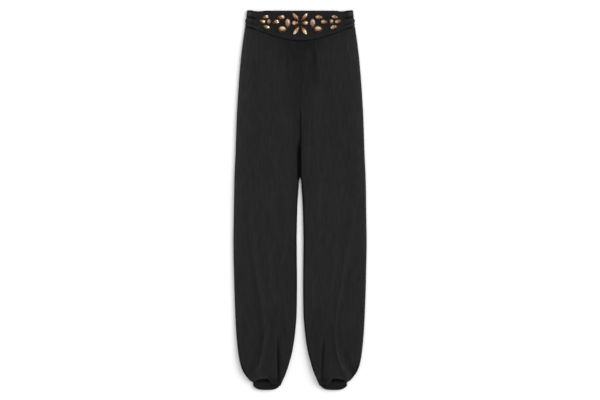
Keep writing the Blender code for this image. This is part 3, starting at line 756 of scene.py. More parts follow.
# Round patches of painted shade where the change is below 0 and painted highlight where it is above 0.
PATCHES = [
    Patch("both", 0, 54, 200, 60, -0.18),       # all along the lower edge of the waistband
    Patch("both", 0, 54, 100, 50, -0.20),       # just below the yoke
    Patch("both", 0, 105, 104, 74, -0.20),
    Patch("both", 0, 170, 68, 125, -0.24),      # between the hips
    Patch("right", 16, 255, 46, 85, -0.13),
    Patch("left", 44, 140, 34, 80, -0.08),
    Patch("left", 14, 245, 26, 85, -0.08),
    Patch("both", 0, 330, 26, 150, -0.16),      # beside the middle seam
    Patch("both", 0, 450, 42, 125, -0.17),      # beside the pressed inner edges
    Patch("both", 95, 520, 90, 110, 0.06),
    Patch("right", 20, 735, 34, 210, -0.08),
    Patch("left", 20, 735, 34, 210, 0.05),
    Patch("both", 95, 960, 110, 180, -0.11),    # the lower legs
    Patch("both", 48, 910, 66, 160, -0.10),
    Patch("both", 52, 1000, 40, 60, -0.10),     # between the deep crease and the inner edge
    Patch("both", 70, 1031, 27, 21, -0.50),     # the blousing's lower inner corner
    Patch("both", 66, 1041, 9, 8, -0.70),       # its very corner, where no light gets in
    Patch("both", 158, 1008, 14, 26, -0.16),    # under the balloon's outer corner
    Patch("both", 139, 1024, 16, 14, 0.12),
]
# painted shade in the seam under the waistband
SEAM_SHADE = -0.45
SEAM_SHADE_REACH = 4 * MM
LIP_SHADE = 0.30                # painted highlight on the blousing's rolled lip, where it catches the light
LIP_LEAN = 35                   # degrees of the roll at which that is strongest
LIP_LEAN_REACH = 40
SHADE_RANGE = (0.01, 2.0)


def front_shade(leg, cut, across):
    """Painted shade and painted highlight of a front panel along one cross section, 1 being plain cloth."""
    wide_rim, rim, line, slit, slit_width = (np.interp(cut.down / MM, EDGE_SHADES[:, 0], column)
                                             for column in EDGE_SHADES.T[1:])
    rim *= RIM_TURNED_AWAY if leg == "right" else 1.0
    from_side = cut.outer - across
    shade = 1 + fold_sum(leg, cut, across, FOLDS + CREASES, "shade")
    shade += wide_rim * bell(from_side / WIDE_RIM_REACH) + rim * bell(from_side / RIM_REACH)
    shade += line * bell(from_side / LINE_REACH)
    for patch in PATCHES:
        if patch.leg not in ("both", leg):
            continue
        aside = (across / MM - patch.across) / patch.half_width
        along = (cut.down / MM - patch.down) / patch.half_length
        shade += patch.change * bell(np.hypot(aside, along))
    shade += SEAM_SHADE * bell((cut.down - PANEL_START) / SEAM_SHADE_REACH)
    shade += LIP_SHADE * bell((cut.lean - LIP_LEAN) / LIP_LEAN_REACH)
    lean = SLIT_LEAN * ease((cut.down - SLIT_LEAN_FROM) / SLIT_LEAN_RISE) * (cut.inner < TUCK_FROM)
    from_slit = (across - cut.inner + SIDES[leg] * lean) / (slit_width * MM)
    return np.clip(shade * np.maximum(1 + slit * bell(from_slit), 0.0), *SHADE_RANGE)


# %% [markdown]
# ## Front panels
# A front is a wall of cloth between two grids of points, its outside and its inside. Row by row the cross
# sections come from the tables, get their relief and are set down along the grain; the last few roll over
# the cuff.

# %% Front panels
FRONT_SEEDS = {"left": 3.0, "right": 11.0}      # starts of the random waves, so that the legs differ


def front_relief(leg, cut, across):
    """All relief of a front panel along one cross section; it fades out over the roll."""
    height = fold_sum(leg, cut, across, FOLDS + CREASES, "rise") * MM
    height += crinkle(across, cut.down, FRONT_SEEDS[leg])
    height -= WAIST_SEAM_DIP * bell((cut.down - PANEL_START) / WAIST_SEAM_WIDTH)
    above = 1 - ease((cut.down - CROTCH_DOWN) / CROTCH_TURN)
    height -= above * MIDDLE_SEAM_DIP * bell(across / MIDDLE_SEAM_WIDTH)
    return height * (1 - min(max(cut.lean / ROLL_LEAN, 0.0), 1.0))


def front_panel(leg):
    """One front: a row of points for each cross section, on its outside and its inside."""
    count = round((LEG_CUTS[-1].down - PANEL_START / MM) / FRONT_ROW_STEP)
    cuts = [cut_at(down) for down in np.linspace(PANEL_START / MM, LEG_CUTS[-1].down, count)]
    cuts += roll_cuts(ROLL_STEPS)
    outside, inside, shades = [], [], []
    for cut in cuts:
        for grid, depth in ((outside, 0.0), (inside, cut.wall)):
            lean = math.radians(cut.lean)
            down = cut.down - depth * math.sin(lean)
            level = cut.top - depth * math.cos(lean)
            across, height = panel_row(cut, SEAM_LEVEL, level, depth, FRONT_SPANS,
                                       lambda places: front_relief(leg, cut, places))
            grid.append(at(SIDES[leg] * across, grain_down(across, down), height))
            if not depth:
                shades.append(front_shade(leg, cut, across))
    return cloth("front_panel_" + leg, outside, inside, shades, LEG_JERSEY, "jersey", "leg_front_" + leg)


fronts = {leg: front_panel(leg) for leg in SIDES}

# %% [markdown]
# ## Back panels of the legs
# The back panels lie face down on the table, so they are flat underneath. They still have the same crinkle,
# only pressed: here the relief goes into the cloth and never below the table.

# %% Back panels
BACK_SPANS = (18, 24, 20)
BACK_ROW_STEP = 6.0
BACK_RELIEF = 0.6
BACK_CREASE_SHADE = -0.12       # painted shade for each millimetre that a crease is deep
BACK_SEEDS = {"left": 23.0, "right": 31.0}
BACK_CREASES = [
    Fold("left", "crease", 120, 420, 10, 30, 9, 0.7),
    Fold("right", "crease", 90, 350, 20, 6, 9, 0.7),
    Fold("left", "fold", 300, 760, -20, -8, 10, 0.6),
    Fold("right", "fold", 420, 900, -12, -22, 10, 0.6),
    Fold("both", "crease", 860, 1070, 4, 0, 8, 0.9),
    Fold("left", "crease", 940, 1070, 30, 26, 6, 0.7),
    Fold("right", "crease", 900, 1070, 34, 30, 6, 0.7),
    Fold("both", "crease", 950, 1070, 52, 46, 6, 0.7),
]


def back_panel(leg):
    """One back: its underside is the outside of the cloth, pressed flat on the table."""
    end = (CUFF_START - SEAM_GAP) / MM
    count = round((end - PANEL_START / MM) / BACK_ROW_STEP)
    outside, inside, shades = [], [], []
    for down in np.linspace(PANEL_START / MM, end, count):
        cut = cut_at(down)

        def pressed(across):
            relief = fold_sum(leg, cut, across, BACK_CREASES, "rise") * MM
            return np.maximum(crinkle(across, cut.down, BACK_SEEDS[leg]) + relief, 0.0) * BACK_RELIEF

        for grid, depth in ((outside, 0.0), (inside, cut.wall)):
            across, height = panel_row(cut, SEAM_LEVEL - SEAM_GAP, depth, depth, BACK_SPANS, pressed)
            grid.append(at(SIDES[leg] * across, np.full_like(across, cut.down), height))
        shades.append(1 + fold_sum(leg, cut, across, BACK_CREASES, "rise") * BACK_CREASE_SHADE)
    return cloth("back_panel_" + leg, outside, inside, shades, LEG_JERSEY, "jersey", "leg_back_" + leg)


backs = {leg: back_panel(leg) for leg in SIDES}

# %% [markdown]
# ## Front yoke
# The yoke is a stiff, smooth, doubled piece that carries the stones. Its upper edge is turned in and
# stitched, which leaves a narrow groove beside the edge, and its curved lower edge bends down into the seam.
# It is a grid again: straight across at the top, along the seam's curve at the bottom.

# %% Yoke
YOKE_HALF = 117 * MM
YOKE_TOP = 1.0 * MM             # how far the yoke's upper edge lies below the side corners
YOKE_SEAM_DIP = 1.8 * MM        # how much lower the upper edge dips where the yoke meets the elastic
YOKE_SEAM_DIP_HALF = 24 * MM
WAIST_HALF_TOP = 147.6 * MM
CORNER_WIDTH = 18 * MM          # width over which the elastic's upper edge rises to the side corner
CORNER_END = 5 * MM             # level stretch at the corner itself
YOKE_EDGE_FALL = 0.9 * MM
YOKE_EDGE_WIDTH = 4 * MM
YOKE_SIDE_BLEND = 20 * MM       # width over which the yoke's shade passes into the elastic's
YOKE_SIDE_SHADE = 0.16
BAND_TOP = 5.2 * MM
BAND_WALL = 2.2 * MM
STITCH_INSET = 2.2 * MM
STITCH_GROOVE = 0.35 * MM
STITCH_GROOVE_HALF = 1.0 * MM
STITCH_SHADE = -0.12
STITCH_SHADE_REACH = 1.5 * MM
YOKE_COLUMNS = 130
YOKE_ROWS = 44
YOKE_WAVE = 0.22 * MM           # low uneven swells, which fade out at the edges
YOKE_WAVE_WIDTH = 22 * MM
YOKE_WAVE_LENGTH = 14 * MM
YOKE_WAVE_FADE = 8 * MM
YOKE_SEED = 5.0
YOKE_SEAM_SHADE = -0.5
YOKE_SEAM_REACH = 3 * MM


def waist_top(across, behind_yoke=0.0):
    """How far the waistband's upper edge lies below its side corners."""
    dip = YOKE_SEAM_DIP * bell((np.abs(across) - YOKE_HALF) / YOKE_SEAM_DIP_HALF)
    rise = ease((np.abs(across) - (WAIST_HALF_TOP - CORNER_END - CORNER_WIDTH)) / CORNER_WIDTH)
    return (YOKE_TOP + behind_yoke + dip) * (1 - rise)


def yoke_height(across, down):
    """Height of the yoke's surface."""
    start, end = waist_top(across), waist_seam(across)
    edge = np.minimum(down - start, end - down)
    fall = YOKE_EDGE_FALL * (1 - np.sin(np.pi / 2 * np.clip(edge / YOKE_EDGE_WIDTH, 0, 1)))
    groove = STITCH_GROOVE * (bell((down - start - STITCH_INSET) / STITCH_GROOVE_HALF)
                              + bell((end - down - STITCH_INSET) / STITCH_GROOVE_HALF))
    wave = np.vectorize(lambda a, d: noise.noise((a / YOKE_WAVE_WIDTH, d / YOKE_WAVE_LENGTH, YOKE_SEED)))
    return BAND_TOP - fall - groove + YOKE_WAVE * wave(across, down) * ease(edge / YOKE_WAVE_FADE)


def yoke_shade(across, down):
    """Painted shade of the yoke: darker in the seam below it and the groove of its upper stitching, paler at
    the sides.
    """
    seam = bell((waist_seam(across) - down) / YOKE_SEAM_REACH)
    groove = bell((down - waist_top(across) - STITCH_INSET) / STITCH_SHADE_REACH)
    beside = YOKE_SIDE_SHADE * ease(1 - (YOKE_HALF - np.abs(across)) / YOKE_SIDE_BLEND)
    return 1 + beside + YOKE_SEAM_SHADE * seam + STITCH_SHADE * groove


def finer_at_ends(count, strength):
    """Shares from 0 to 1 whose steps get shorter towards both ends."""
    shares = np.linspace(0, 1, count + 1)
    return between(shares, 0.5 - 0.5 * np.cos(np.pi * shares), strength)


def yoke():
    across = YOKE_HALF * (2 * finer_at_ends(YOKE_COLUMNS, 0.2) - 1)
    outside, inside, shades = [], [], []
    for share in finer_at_ends(YOKE_ROWS, 0.3):
        down = between(waist_top(across), waist_seam(across), share)
        outside.append(at(across, down, yoke_height(across, down)))
        inside.append(at(across, down, BAND_TOP - BAND_WALL))
        shades.append(yoke_shade(across, down))
    return cloth("yoke", outside, inside, shades, YOKE_CLOTH, "yoke_cloth", "waistband_front")


yoke_piece = yoke()

# %% [markdown]
# ## Elastic waistband
# The rest of the waistband is jersey sewn over wide elastic in three channels. When it relaxes, the elastic
# pulls the cloth into small puckers between the rows of stitching. So each channel is a round ridge whose
# height changes quickly along the band, and falls to nothing at the stitching. The middle one bulges out at
# the side, low down.

# %% Channels of the elastic
# Shares of the band, heights in millimetres, then how pale the painted highlight on its rim is and how
# dark the painted shade in the groove below it is.
Channel = namedtuple("Channel", "start end face side skew rim groove")
CHANNELS = [
    Channel(0.0, 0.41, 1.6, 1.0, 1.0, 1.05, -1.0),
    Channel(0.41, 0.75, 1.6, 2.7, 2.0, 0.60, -0.60),
    Channel(0.75, 1.0, 1.4, 1.7, 1.0, 0.60, -0.80),
]
FACE_ROUNDNESS = 0.6            # powers of a sine: the smaller, the flatter a channel's back
SIDE_ROUNDNESS = 0.8
PUCKER_WIDTH = 2.6 * MM
PUCKER_SHARE = 0.75
PUCKER_CHANGE = 0.8             # how much the puckers differ from channel to channel


def channel_form(share):
    """The channel at a share of the band's depth, a running number for its puckers, and its two heights."""
    channel = next(row for row in CHANNELS if share <= row.end)
    within = (share - channel.start) / (channel.end - channel.start)
    face = math.sin(math.pi * within) ** FACE_ROUNDNESS if 0 < within < 1 else 0.0
    side = math.sin(math.pi * within ** channel.skew) ** SIDE_ROUNDNESS if 0 < within < 1 else 0.0
    return channel, CHANNELS.index(channel) + within, face, side


def pucker(along, place, seed):
    """How high a channel stands at a place along it, around 1."""
    return 1 + PUCKER_SHARE * noise.noise((along / PUCKER_WIDTH, place * PUCKER_CHANGE, seed))


print("channels: %d" % len(CHANNELS))

# %% [markdown]
# ## The ring of the waistband
# The band runs over the front, round the side and back underneath, flat on the table. One half of the ring
# is worked out and mirrored, with the level back between the two halves. Underneath, the channels are
# pressed flat and only their grooves stand off the table. Beside the yoke, where the band is sewn down, the
# channels fade out.

# %% Elastic waistband
WAIST_HALF_SEAM = 152.4 * MM
BAND_SIDE_ROUND = 5.0 * MM
BACK_TUCK = 1.0 * MM
BAND_ROWS = 39
BAND_RIM_REACH = 14 * MM
BAND_FADE = 14 * MM             # the channels flatten towards the yoke over this width
BAND_GROOVE_AT_YOKE = 0.3       # share of the grooves' painted shade that is left beside the yoke
BAND_DARKEST = 0.05
BAND_UNDER_YOKE = 1.2 * MM      # how far the elastic is tucked under the yoke's short side
BAND_FRONT_STEPS = 20
BAND_TURN_STEPS = 16
BAND_BACK_STEPS = 150
PUCKER_MOST_AT_SIDE = 1.2       # the most that a pucker swells a channel at the turn
PUCKER_TURN = {True: 2.7 * MM, False: 5.4 * MM}     # cloth that a radian of the turn takes, in front or not
TURNED_PUCKERS = 2.0            # starts of the random puckers: in front and round the side,
PRESSED_PUCKERS = 9.0           # and underneath
PRESSED_GROOVE = 0.5 * MM


def half_band():
    """One side of the band: share of its level part, angle of its turn, and whether it lies in front."""
    front = [(share, math.pi / 2, True) for share in np.linspace(0, 1, BAND_FRONT_STEPS, endpoint=False)]
    angles = np.linspace(math.pi / 2, -math.pi / 2, BAND_TURN_STEPS + 1)
    return front + [(1.0, angle, angle > 0) for angle in angles]


def band_shade(share):
    """Painted light round the ring: highlight towards the sides, shade in the grooves between channels."""
    half = between(WAIST_HALF_TOP, WAIST_HALF_SEAM, share)
    channel, place = channel_form(share)[:2]
    index = CHANNELS.index(channel)
    groove = channel.groove if place - index > 0.5 else CHANNELS[max(index - 1, 0)].groove
    depth = groove * (1 - math.sin(math.pi * (place - index)) ** SIDE_ROUNDNESS)
    row = []
    for flat, _, _ in half_band():
        across = between(YOKE_HALF - BAND_UNDER_YOKE, half - BAND_SIDE_ROUND, flat)
        rim = channel.rim * bell((half - BAND_SIDE_ROUND - across) / BAND_RIM_REACH)
        near_side = ease((across - YOKE_HALF) / BAND_FADE)
        row.append((1 + rim) * max(1 + depth * between(BAND_GROOVE_AT_YOKE, 1.0, near_side), BAND_DARKEST))
    return row + [1.0] * (BAND_BACK_STEPS - 1) + row[::-1]


def band_row(share, shrink):
    """Points of the whole ring at one height of the band, from the front's left end round the back."""
    half = between(WAIST_HALF_TOP, WAIST_HALF_SEAM, share)
    channel, place, round_rise, bulge = channel_form(share)
    reach, rise = BAND_SIDE_ROUND - shrink, BAND_TOP / 2 - shrink
    middle, turn_start = BAND_TOP / 2, half - BAND_SIDE_ROUND
    row = []
    for flat, angle, in_front in half_band():
        across = between(YOKE_HALF - BAND_UNDER_YOKE, turn_start, flat) + reach * math.cos(angle)
        height = middle + rise * math.sin(angle)
        if shrink == 0.0:
            swell = pucker(across + PUCKER_TURN[in_front] * angle, place, TURNED_PUCKERS) * MM
            side_swell = min(swell, PUCKER_MOST_AT_SIDE * MM)
            across += bulge * channel.side * max(math.cos(angle), 0.0) * side_swell
            beside_yoke = ease((across - YOKE_HALF) / BAND_FADE) if in_front else 1.0
            height += beside_yoke * round_rise * channel.face * max(math.sin(angle), 0.0) * swell
        row.append([across, height, in_front])
    back = []
    for part in np.linspace(0, 1, BAND_BACK_STEPS + 1)[1:-1]:
        across = between(row[-1][0], -row[-1][0], part)
        pressed = PRESSED_GROOVE * (1 - round_rise) * pucker(across, place, PRESSED_PUCKERS)
        back.append([across, row[-1][1] + (pressed if shrink == 0.0 else 0.0), False])
    ring = row + back + [[-across, height, where] for across, height, where in reversed(row)]
    points = []
    for across, height, in_front in ring:
        start = waist_top(across, 0.0 if in_front else BACK_TUCK)
        end = waist_seam(across) if in_front else BAND_DEPTH_AT_SIDE
        points.append(at(across, between(start, end, share), height))
    return points


def elastic_waist():
    shares = np.linspace(0, 1, BAND_ROWS + 1)
    outside, inside = ([band_row(share, shrink) for share in shares] for shrink in (0.0, BAND_WALL))
    shades = [band_shade(share) for share in shares]
    return cloth("elastic_waist", outside, inside, shades, BAND_CLOTH, "elastic_band", "waistband_back")


elastic_piece = elastic_waist()

# %% [markdown]
# ## Ankle cuffs
# A cuff is a short flat tube with two stitched channels over elastic. The hem is rounded, as a tube is when
# it is pressed flat. The channels pucker like those of the waist, only finer. In front the cuff reaches up
# under the blousing, so that the lifted lip shows cloth below it and no hole.

# %% Cuffs
CUFF_HALF = 37.4 * MM
CUFF_TOP = 6.0 * MM
CUFF_WALL = 2.2 * MM
CUFF_SIDE_ROUND = 5.5 * MM
CUFF_RIB = 0.72 * MM            # how high a channel stands
CUFF_RIBS = 2
CUFF_PRESSED = 0.4 * MM         # how deep the grooves are underneath
CUFF_PUCKER_SHARE = 0.8
CUFF_PUCKER_WIDTH = 2.2 * MM
CUFF_PUCKER_CHANGE = 0.9
CUFF_SEEDS = {"left": 4.0, "right": 6.0}
CUFF_HEM_RISE = 12 * MM
CUFF_HEM_POWER = 3.6
CUFF_RIB_ROWS = 9
CUFF_TOP_STEPS = 44
CUFF_TURN_STEPS = 12
CUFF_BACK_STEPS = 36
CUFF_REACH_UP = 13 * MM         # how far the front of a cuff reaches up under the blousing
# painted shadow under the blousing's lip
CUFF_TUCK_SHADE = -0.8
CUFF_TUCK_REACH = 9 * MM
# Share of the way down the cuff, half width and change: painted shade in the groove, a painted highlight
# on the upper channel and painted shade at the hem.
CUFF_SHADES = [(1 / CUFF_RIBS, 0.10, -0.25), (0.30, 0.12, 0.14), (1.0, 0.08, -0.30)]


def cuff_ring():
    """Places round a cuff: (share of the flat half width, angle of the turn)."""
    ring = [(share, math.pi / 2) for share in np.linspace(-1, 1, CUFF_TOP_STEPS + 1)]
    ring += [(1.0, angle) for angle in np.linspace(math.pi / 2, -math.pi / 2, CUFF_TURN_STEPS + 1)[1:]]
    ring += [(share, -math.pi / 2) for share in np.linspace(1, -1, CUFF_BACK_STEPS + 1)[1:]]
    ring += [(-1.0, angle) for angle in np.linspace(-math.pi / 2, math.pi / 2, CUFF_TURN_STEPS + 1)[1:-1]]
    return ring


def cuff_row(leg, share, shrink):
    """Points round a cuff at one share of its depth."""
    flat, middle = CUFF_HALF - CUFF_SIDE_ROUND, CUFF_TOP / 2
    reach, rise = CUFF_SIDE_ROUND - shrink, CUFF_TOP / 2 - shrink
    place = share * CUFF_RIBS
    round_rise = math.sin(math.pi * (place % 1.0)) ** FACE_ROUNDNESS if share < 1 else 0.0
    points = []
    for part, angle in cuff_ring():
        offset = part * flat + math.copysign(reach * math.cos(angle), part)
        height = middle + rise * math.sin(angle)
        if shrink == 0.0:
            spot = (offset / CUFF_PUCKER_WIDTH, place * CUFF_PUCKER_CHANGE, CUFF_SEEDS[leg])
            swell = 1 + CUFF_PUCKER_SHARE * noise.noise(spot)
            height += CUFF_RIB * round_rise * max(math.sin(angle), 0.0) * swell
            height += CUFF_PRESSED * (1 - round_rise) * max(-math.sin(angle), 0.0) * swell
        hem = LENGTH - CUFF_HEM_RISE * min(abs(offset) / CUFF_HALF, 1.0) ** CUFF_HEM_POWER
        start = CUFF_START - CUFF_REACH_UP * ease(math.sin(angle))
        down = between(CUFF_START, hem, share) if share > 0 else start
        points.append(at(SIDES[leg] * (CUFF_MIDDLE + offset), down, height))
    return points


def cuff_shade(share):
    """Painted light along a cuff: shade under the lip, in the groove and at the hem, highlight on the upper
    channel.
    """
    shade = 1 + sum(change * bell((share - middle) / half) for middle, half, change in CUFF_SHADES)
    under_lip = CUFF_TUCK_SHADE * bell(share * (LENGTH - CUFF_START) / CUFF_TUCK_REACH)
    return [shade + under_lip] * len(cuff_ring())


def ankle_cuff(leg):
    rows = CUFF_RIBS * CUFF_RIB_ROWS
    shares = [step / rows for step in range(rows + 1)]
    outside, inside = ([cuff_row(leg, share, shrink) for share in shares] for shrink in (0.0, CUFF_WALL))
    shades = [cuff_shade(share) for share in shares]
    return cloth("ankle_cuff_" + leg, outside, inside, shades, CUFF_CLOTH, "cuff_band", "cuff_" + leg,
                 tube=True)


cuffs = {leg: ankle_cuff(leg) for leg in SIDES}

# %% [markdown]
# ## Foil-backed stones
# A sewn-on stone is clear resin over a mirror foil. Its facets show the foil at different angles, some
# cream, some honey, some nearly brown. Real refraction would cost many light bounces for stones this small,
# so that light is painted into the colour instead, as painted reflection: a dot product and a sine turn each
# facet's normal into a number that jumps from facet to facet, facets that face up are painted paler, and a
# ramp turns that number into a colour. A painted highlight also makes each stone paler at one end than at
# the other, which every point carries as a number named "glint".

# %% Stone finishes
FACET_MIX = (3.1, 5.3, 2.2)     # uneven, so that no two facets of a stone get the same number
FACET_JUMP = 4.0                # how fast that number changes with the facet's direction
CLOUD_SIZE = 3.0 * MM           # of the slow changes in a stone's tone
TARNISH_SIZE = 2.0 * MM


def facet_stone(name, stops, roughness):
    """A polished stone over foil, whose painted reflection runs through the stops of a ramp."""
    finish = Finish(name, Metallic=0.55, Coat_Weight=0.7, Coat_Roughness=0.04)
    x, y, z = finish.place()
    normal = finish.node("ShaderNodeTexCoord", output="Normal")
    along = finish.node("ShaderNodeVectorMath", {"operation": "DOT_PRODUCT"}, {0: normal, 1: FACET_MIX},
                        "Value")
    facet = 0.5 + 0.5 * finish.maths("SINE", along * FACET_JUMP)
    up = finish.node("ShaderNodeSeparateXYZ", None, {0: normal}, "Z")
    cloud = finish.waves(x, y, z, CLOUD_SIZE, CLOUD_SIZE, 1.0)
    glint = finish.node("ShaderNodeAttribute", {"attribute_name": "glint"}, output="Fac")
    # painted reflection: the facet's direction, how much it faces up, and the painted highlight "glint"
    tone = 0.30 * facet + 0.34 * cloud + 0.35 * up + glint - 0.22
    colour = finish.node("ShaderNodeValToRGB", {"stops": stops}, {"Fac": tone})
    finish.surface(colour=colour, roughness=roughness + 0.08 * cloud)
    return finish.material


AMBER = facet_stone("amber_stone", [(0.0, (0.05, 0.020, 0.008)), (0.28, (0.20, 0.085, 0.030)),
                                    (0.55, (0.50, 0.30, 0.145)), (0.80, (1.0, 0.88, 0.70)),
                                    (1.0, (0.80, 0.60, 0.38))], 0.10)
ROSE = facet_stone("rose_stone", [(0.0, (0.07, 0.035, 0.030)), (0.16, (0.27, 0.175, 0.175)),
                                  (0.30, (0.31, 0.15, 0.075)), (0.44, (0.38, 0.23, 0.13)),
                                  (0.62, (0.52, 0.43, 0.33)), (1.0, (0.40, 0.34, 0.29))], 0.12)
BRONZE = Finish("dark_bronze", Metallic=1.0)
tarnish = BRONZE.waves(*BRONZE.place(), TARNISH_SIZE, TARNISH_SIZE)
BRONZE.surface(colour=BRONZE.blend(tarnish, (0.085, 0.043, 0.022, 1.0), (0.36, 0.20, 0.10, 1.0)),
               roughness=0.3 + 0.25 * tarnish)
print("stone finishes:", AMBER.name, ROSE.name, BRONZE.material.name)

# %% [markdown]
# ## Where the stones sit
# The stones stand in loose groups: a flower of three pairs in the middle, then a ring of four on each side,
# and a smaller ring beyond it. Places, sizes and cuts in the table are the construction model's, and the
# wearer's left half is mirrored to the right. The last two columns are painted light: the direction of the
# painted highlight's bright end, and how much paler or darker the whole stone is painted. Every outline
# starts as an oval, and a petal's or a drop's ends are narrowed.

# %% Places and outlines of the stones
Group = namedtuple("Group", "across down")
GROUPS = {"flower": Group(0, 36), "inner": Group(52, 36), "outer": Group(96, 33)}
Stone = namedtuple("Stone", "group name across up length width tilt cut tint glint glow")
STONES = [
    Stone("flower", "top", 12, 17, 26, 11.5, 50, "petal", "amber", 60, -0.12),
    Stone("flower", "middle", 13, 0, 19, 12.5, 180, "drop", "amber", 10, -0.04),
    Stone("flower", "bottom", 11, -21, 26, 12, -56, "petal", "amber", -60, 0.02),
    Stone("inner", "near", -17, 0, 24, 16, 90, "oval", "rose", 100, -0.14),
    Stone("inner", "top", 1, 16, 19, 12.5, -6, "oval", "amber", 150, -0.12),
    Stone("inner", "far", 16, 3, 20, 13, -12, "drop", "amber", 160, -0.11),
    Stone("inner", "bottom", -2, -17, 21.5, 17, 0, "oval", "amber", 100, 0.06),
    Stone("outer", "top", 1, 14, 17.5, 11, -12, "oval", "amber", 165, -0.13),
    Stone("outer", "far", 10, 2, 18, 10.5, 16, "drop", "amber", 190, -0.08),
    Stone("outer", "near", -9, 1, 14.5, 12.5, 90, "oval", "rose", 50, -0.16),
    Stone("outer", "bottom", -2, -14, 19, 11.5, 18, "oval", "amber", 175, -0.07),
]
PETAL_NARROWING = 0.45          # powers that draw the ends of a petal and of a drop to a point
DROP_NARROWING = 0.2
DROP_TAPER = 0.22


def outline_point(row, turn):
    """A point of a stone's outline at an angle, for a stone of length and width 1."""
    along, aside = math.cos(turn), math.sin(turn)
    if row.cut == "petal":
        aside *= abs(aside) ** PETAL_NARROWING
    if row.cut == "drop":
        aside *= (1 - DROP_TAPER * along) * abs(aside) ** DROP_NARROWING
    return along / 2, aside / 2


def on_yoke(row, leg, along, aside, height):
    """A place on the yoke, from a stone's own length and width directions."""
    group = GROUPS[row.group]
    tilt = math.radians(row.tilt)
    across = (group.across + row.across) * MM + along * math.cos(tilt) - aside * math.sin(tilt)
    up = row.up * MM + along * math.sin(tilt) + aside * math.cos(tilt)
    return tuple(float(value) for value in at(SIDES[leg] * across, group.down * MM - up, height))


def stone_ring(row, leg, turns, size, height):
    """A ring of points round a stone, as a share of its size."""
    outline = [outline_point(row, turn) for turn in turns]
    return [on_yoke(row, leg, along * size * row.length * MM, aside * size * row.width * MM, height)
            for along, aside in outline]


print("stones on one side: %d" % len(STONES))

# %% [markdown]
# ## Cutting and setting the stones
# Each stone is cut like a gem: an upright girdle, small triangles above it, kites, a star of triangles and
# a flat table. Rings of points stand at each of those levels, and faces join them. A thin bronze rim holds
# each stone, and all rims of one side are a single piece.

# %% Stones and rims
STONE_GIRDLE = 1.1 * MM
STONE_HEIGHT_RATIO = 0.27
STONE_TABLE = 0.52
STONE_SHOULDER = 0.80           # size of the ring of points between girdle and table
STONE_SHOULDER_HEIGHT = 0.62    # share of the crown's height at that ring
MAIN_FACETS = 12
FACET_ANGLE = math.radians(6)
CUT_SHARE = 0.93                # size of the cut stone inside its setting
GLINT = 0.42                    # how much paler the painted highlight makes the foil from a stone's middle to its bright end
RIM_HEIGHT = 1.5 * MM
RIM_POINTS = 48
RIM_SUNK = 0.1 * MM
RIM_ANGLE = math.radians(40)
# The rim's cross section, as shares of the stone's size and of the rim's height.
RIM_PROFILE = [(1.05, 0.0), (1.05, 0.35), (1.02, 0.8), (0.98, 1.0), (0.935, 0.85), (0.935, 0.0)]


def faces_between(low, high, count):
    """Faces between two rings of points, given where each starts in a mesh's list."""
    return [(low + step, low + (step + 1) % count, high + (step + 1) % count, high + step)
            for step in range(count)]


def stone(row, leg):
    """One cut stone, a little smaller than its setting."""
    base = BAND_TOP + SEAM_GAP
    girdle = base + STONE_GIRDLE
    crown = STONE_HEIGHT_RATIO * row.width * MM
    fine = 2 * MAIN_FACETS
    turns = [2 * math.pi * step / fine for step in range(fine)]
    rings = [(turns, 1.0, base), (turns, 1.0, girdle),
             (turns[1::2], STONE_SHOULDER, girdle + STONE_SHOULDER_HEIGHT * crown),
             (turns[::2], STONE_TABLE, girdle + crown)]
    points = []
    for turns_of, size, height in rings:
        points += stone_ring(row, leg, turns_of, size * CUT_SHARE, height)
    edge, shoulder, table = fine, 2 * fine, 2 * fine + MAIN_FACETS
    faces = [tuple(range(fine)), tuple(range(table, table + MAIN_FACETS)), *faces_between(0, edge, fine)]
    for step in range(MAIN_FACETS):
        after, before = (step + 1) % MAIN_FACETS, step - 1 if step else MAIN_FACETS - 1
        low, middle, high = edge + 2 * step, edge + 2 * step + 1, edge + (2 * step + 2) % fine
        faces += [(low, middle, shoulder + step), (middle, high, shoulder + step),
                  (low, shoulder + step, table + step), (low, table + step, shoulder + before),
                  (shoulder + step, table + after, table + step)]
    finish = AMBER if row.tint == "amber" else ROSE
    words = "_".join((row.group, row.name, leg))
    made = piece("gem_" + words, points, faces, finish, FACET_ANGLE, row.tint + "_stone",
                 ["stone_" + words])
    # painted highlight: paler towards the stone's bright end, on top of its painted paleness "glow"
    towards = math.radians(row.glint - row.tilt)
    glints = [row.glow + GLINT * size * math.cos(turn - towards)
              for turns_of, size, _ in rings for turn in turns_of]
    made.data.attributes.new("glint", "FLOAT", "POINT").data.foreach_set("value", glints)
    return made


def rims(leg):
    """The bronze rims of one side's stones, as one piece."""
    points, faces = [], []
    turns = [2 * math.pi * step / RIM_POINTS for step in range(RIM_POINTS)]
    starts = [layer * RIM_POINTS for layer in range(len(RIM_PROFILE))]
    for row in STONES:
        for low, high in zip(starts, starts[1:] + starts[:1]):
            faces += faces_between(len(points) + low, len(points) + high, RIM_POINTS)
        for size, up in RIM_PROFILE:
            points += stone_ring(row, leg, turns, size, BAND_TOP - RIM_SUNK + RIM_HEIGHT * up)
    return piece("stone_rims_" + leg, points, faces, BRONZE.material, RIM_ANGLE, "amber_stone", [])


gems = [stone(row, leg) for leg in SIDES for row in STONES]
gem_rims = [rims(leg) for leg in SIDES]
print("stones: %d, rims: %d" % (len(gems), len(gem_rims) * len(STONES)))

# %% [markdown]
# ## Stitching
# Thread is what holds the channels and the yoke's edges, and each stitch shows as a short rounded bar that
# dips into the cloth at both ends. A row of stitches follows a line of points on a surface, so one function
# makes every row: it walks along the line, sets a stitch, leaves a small gap, and joins them all in a mesh.

# %% Stitches
STITCH_LENGTH = 2.5 * MM
STITCH_PITCH = 3.3 * MM
THREAD_RADIUS = 0.26 * MM
THREAD_SIDES = 6
THREAD_ANGLE = math.radians(50)
STITCH_LIFT = 0.1 * MM
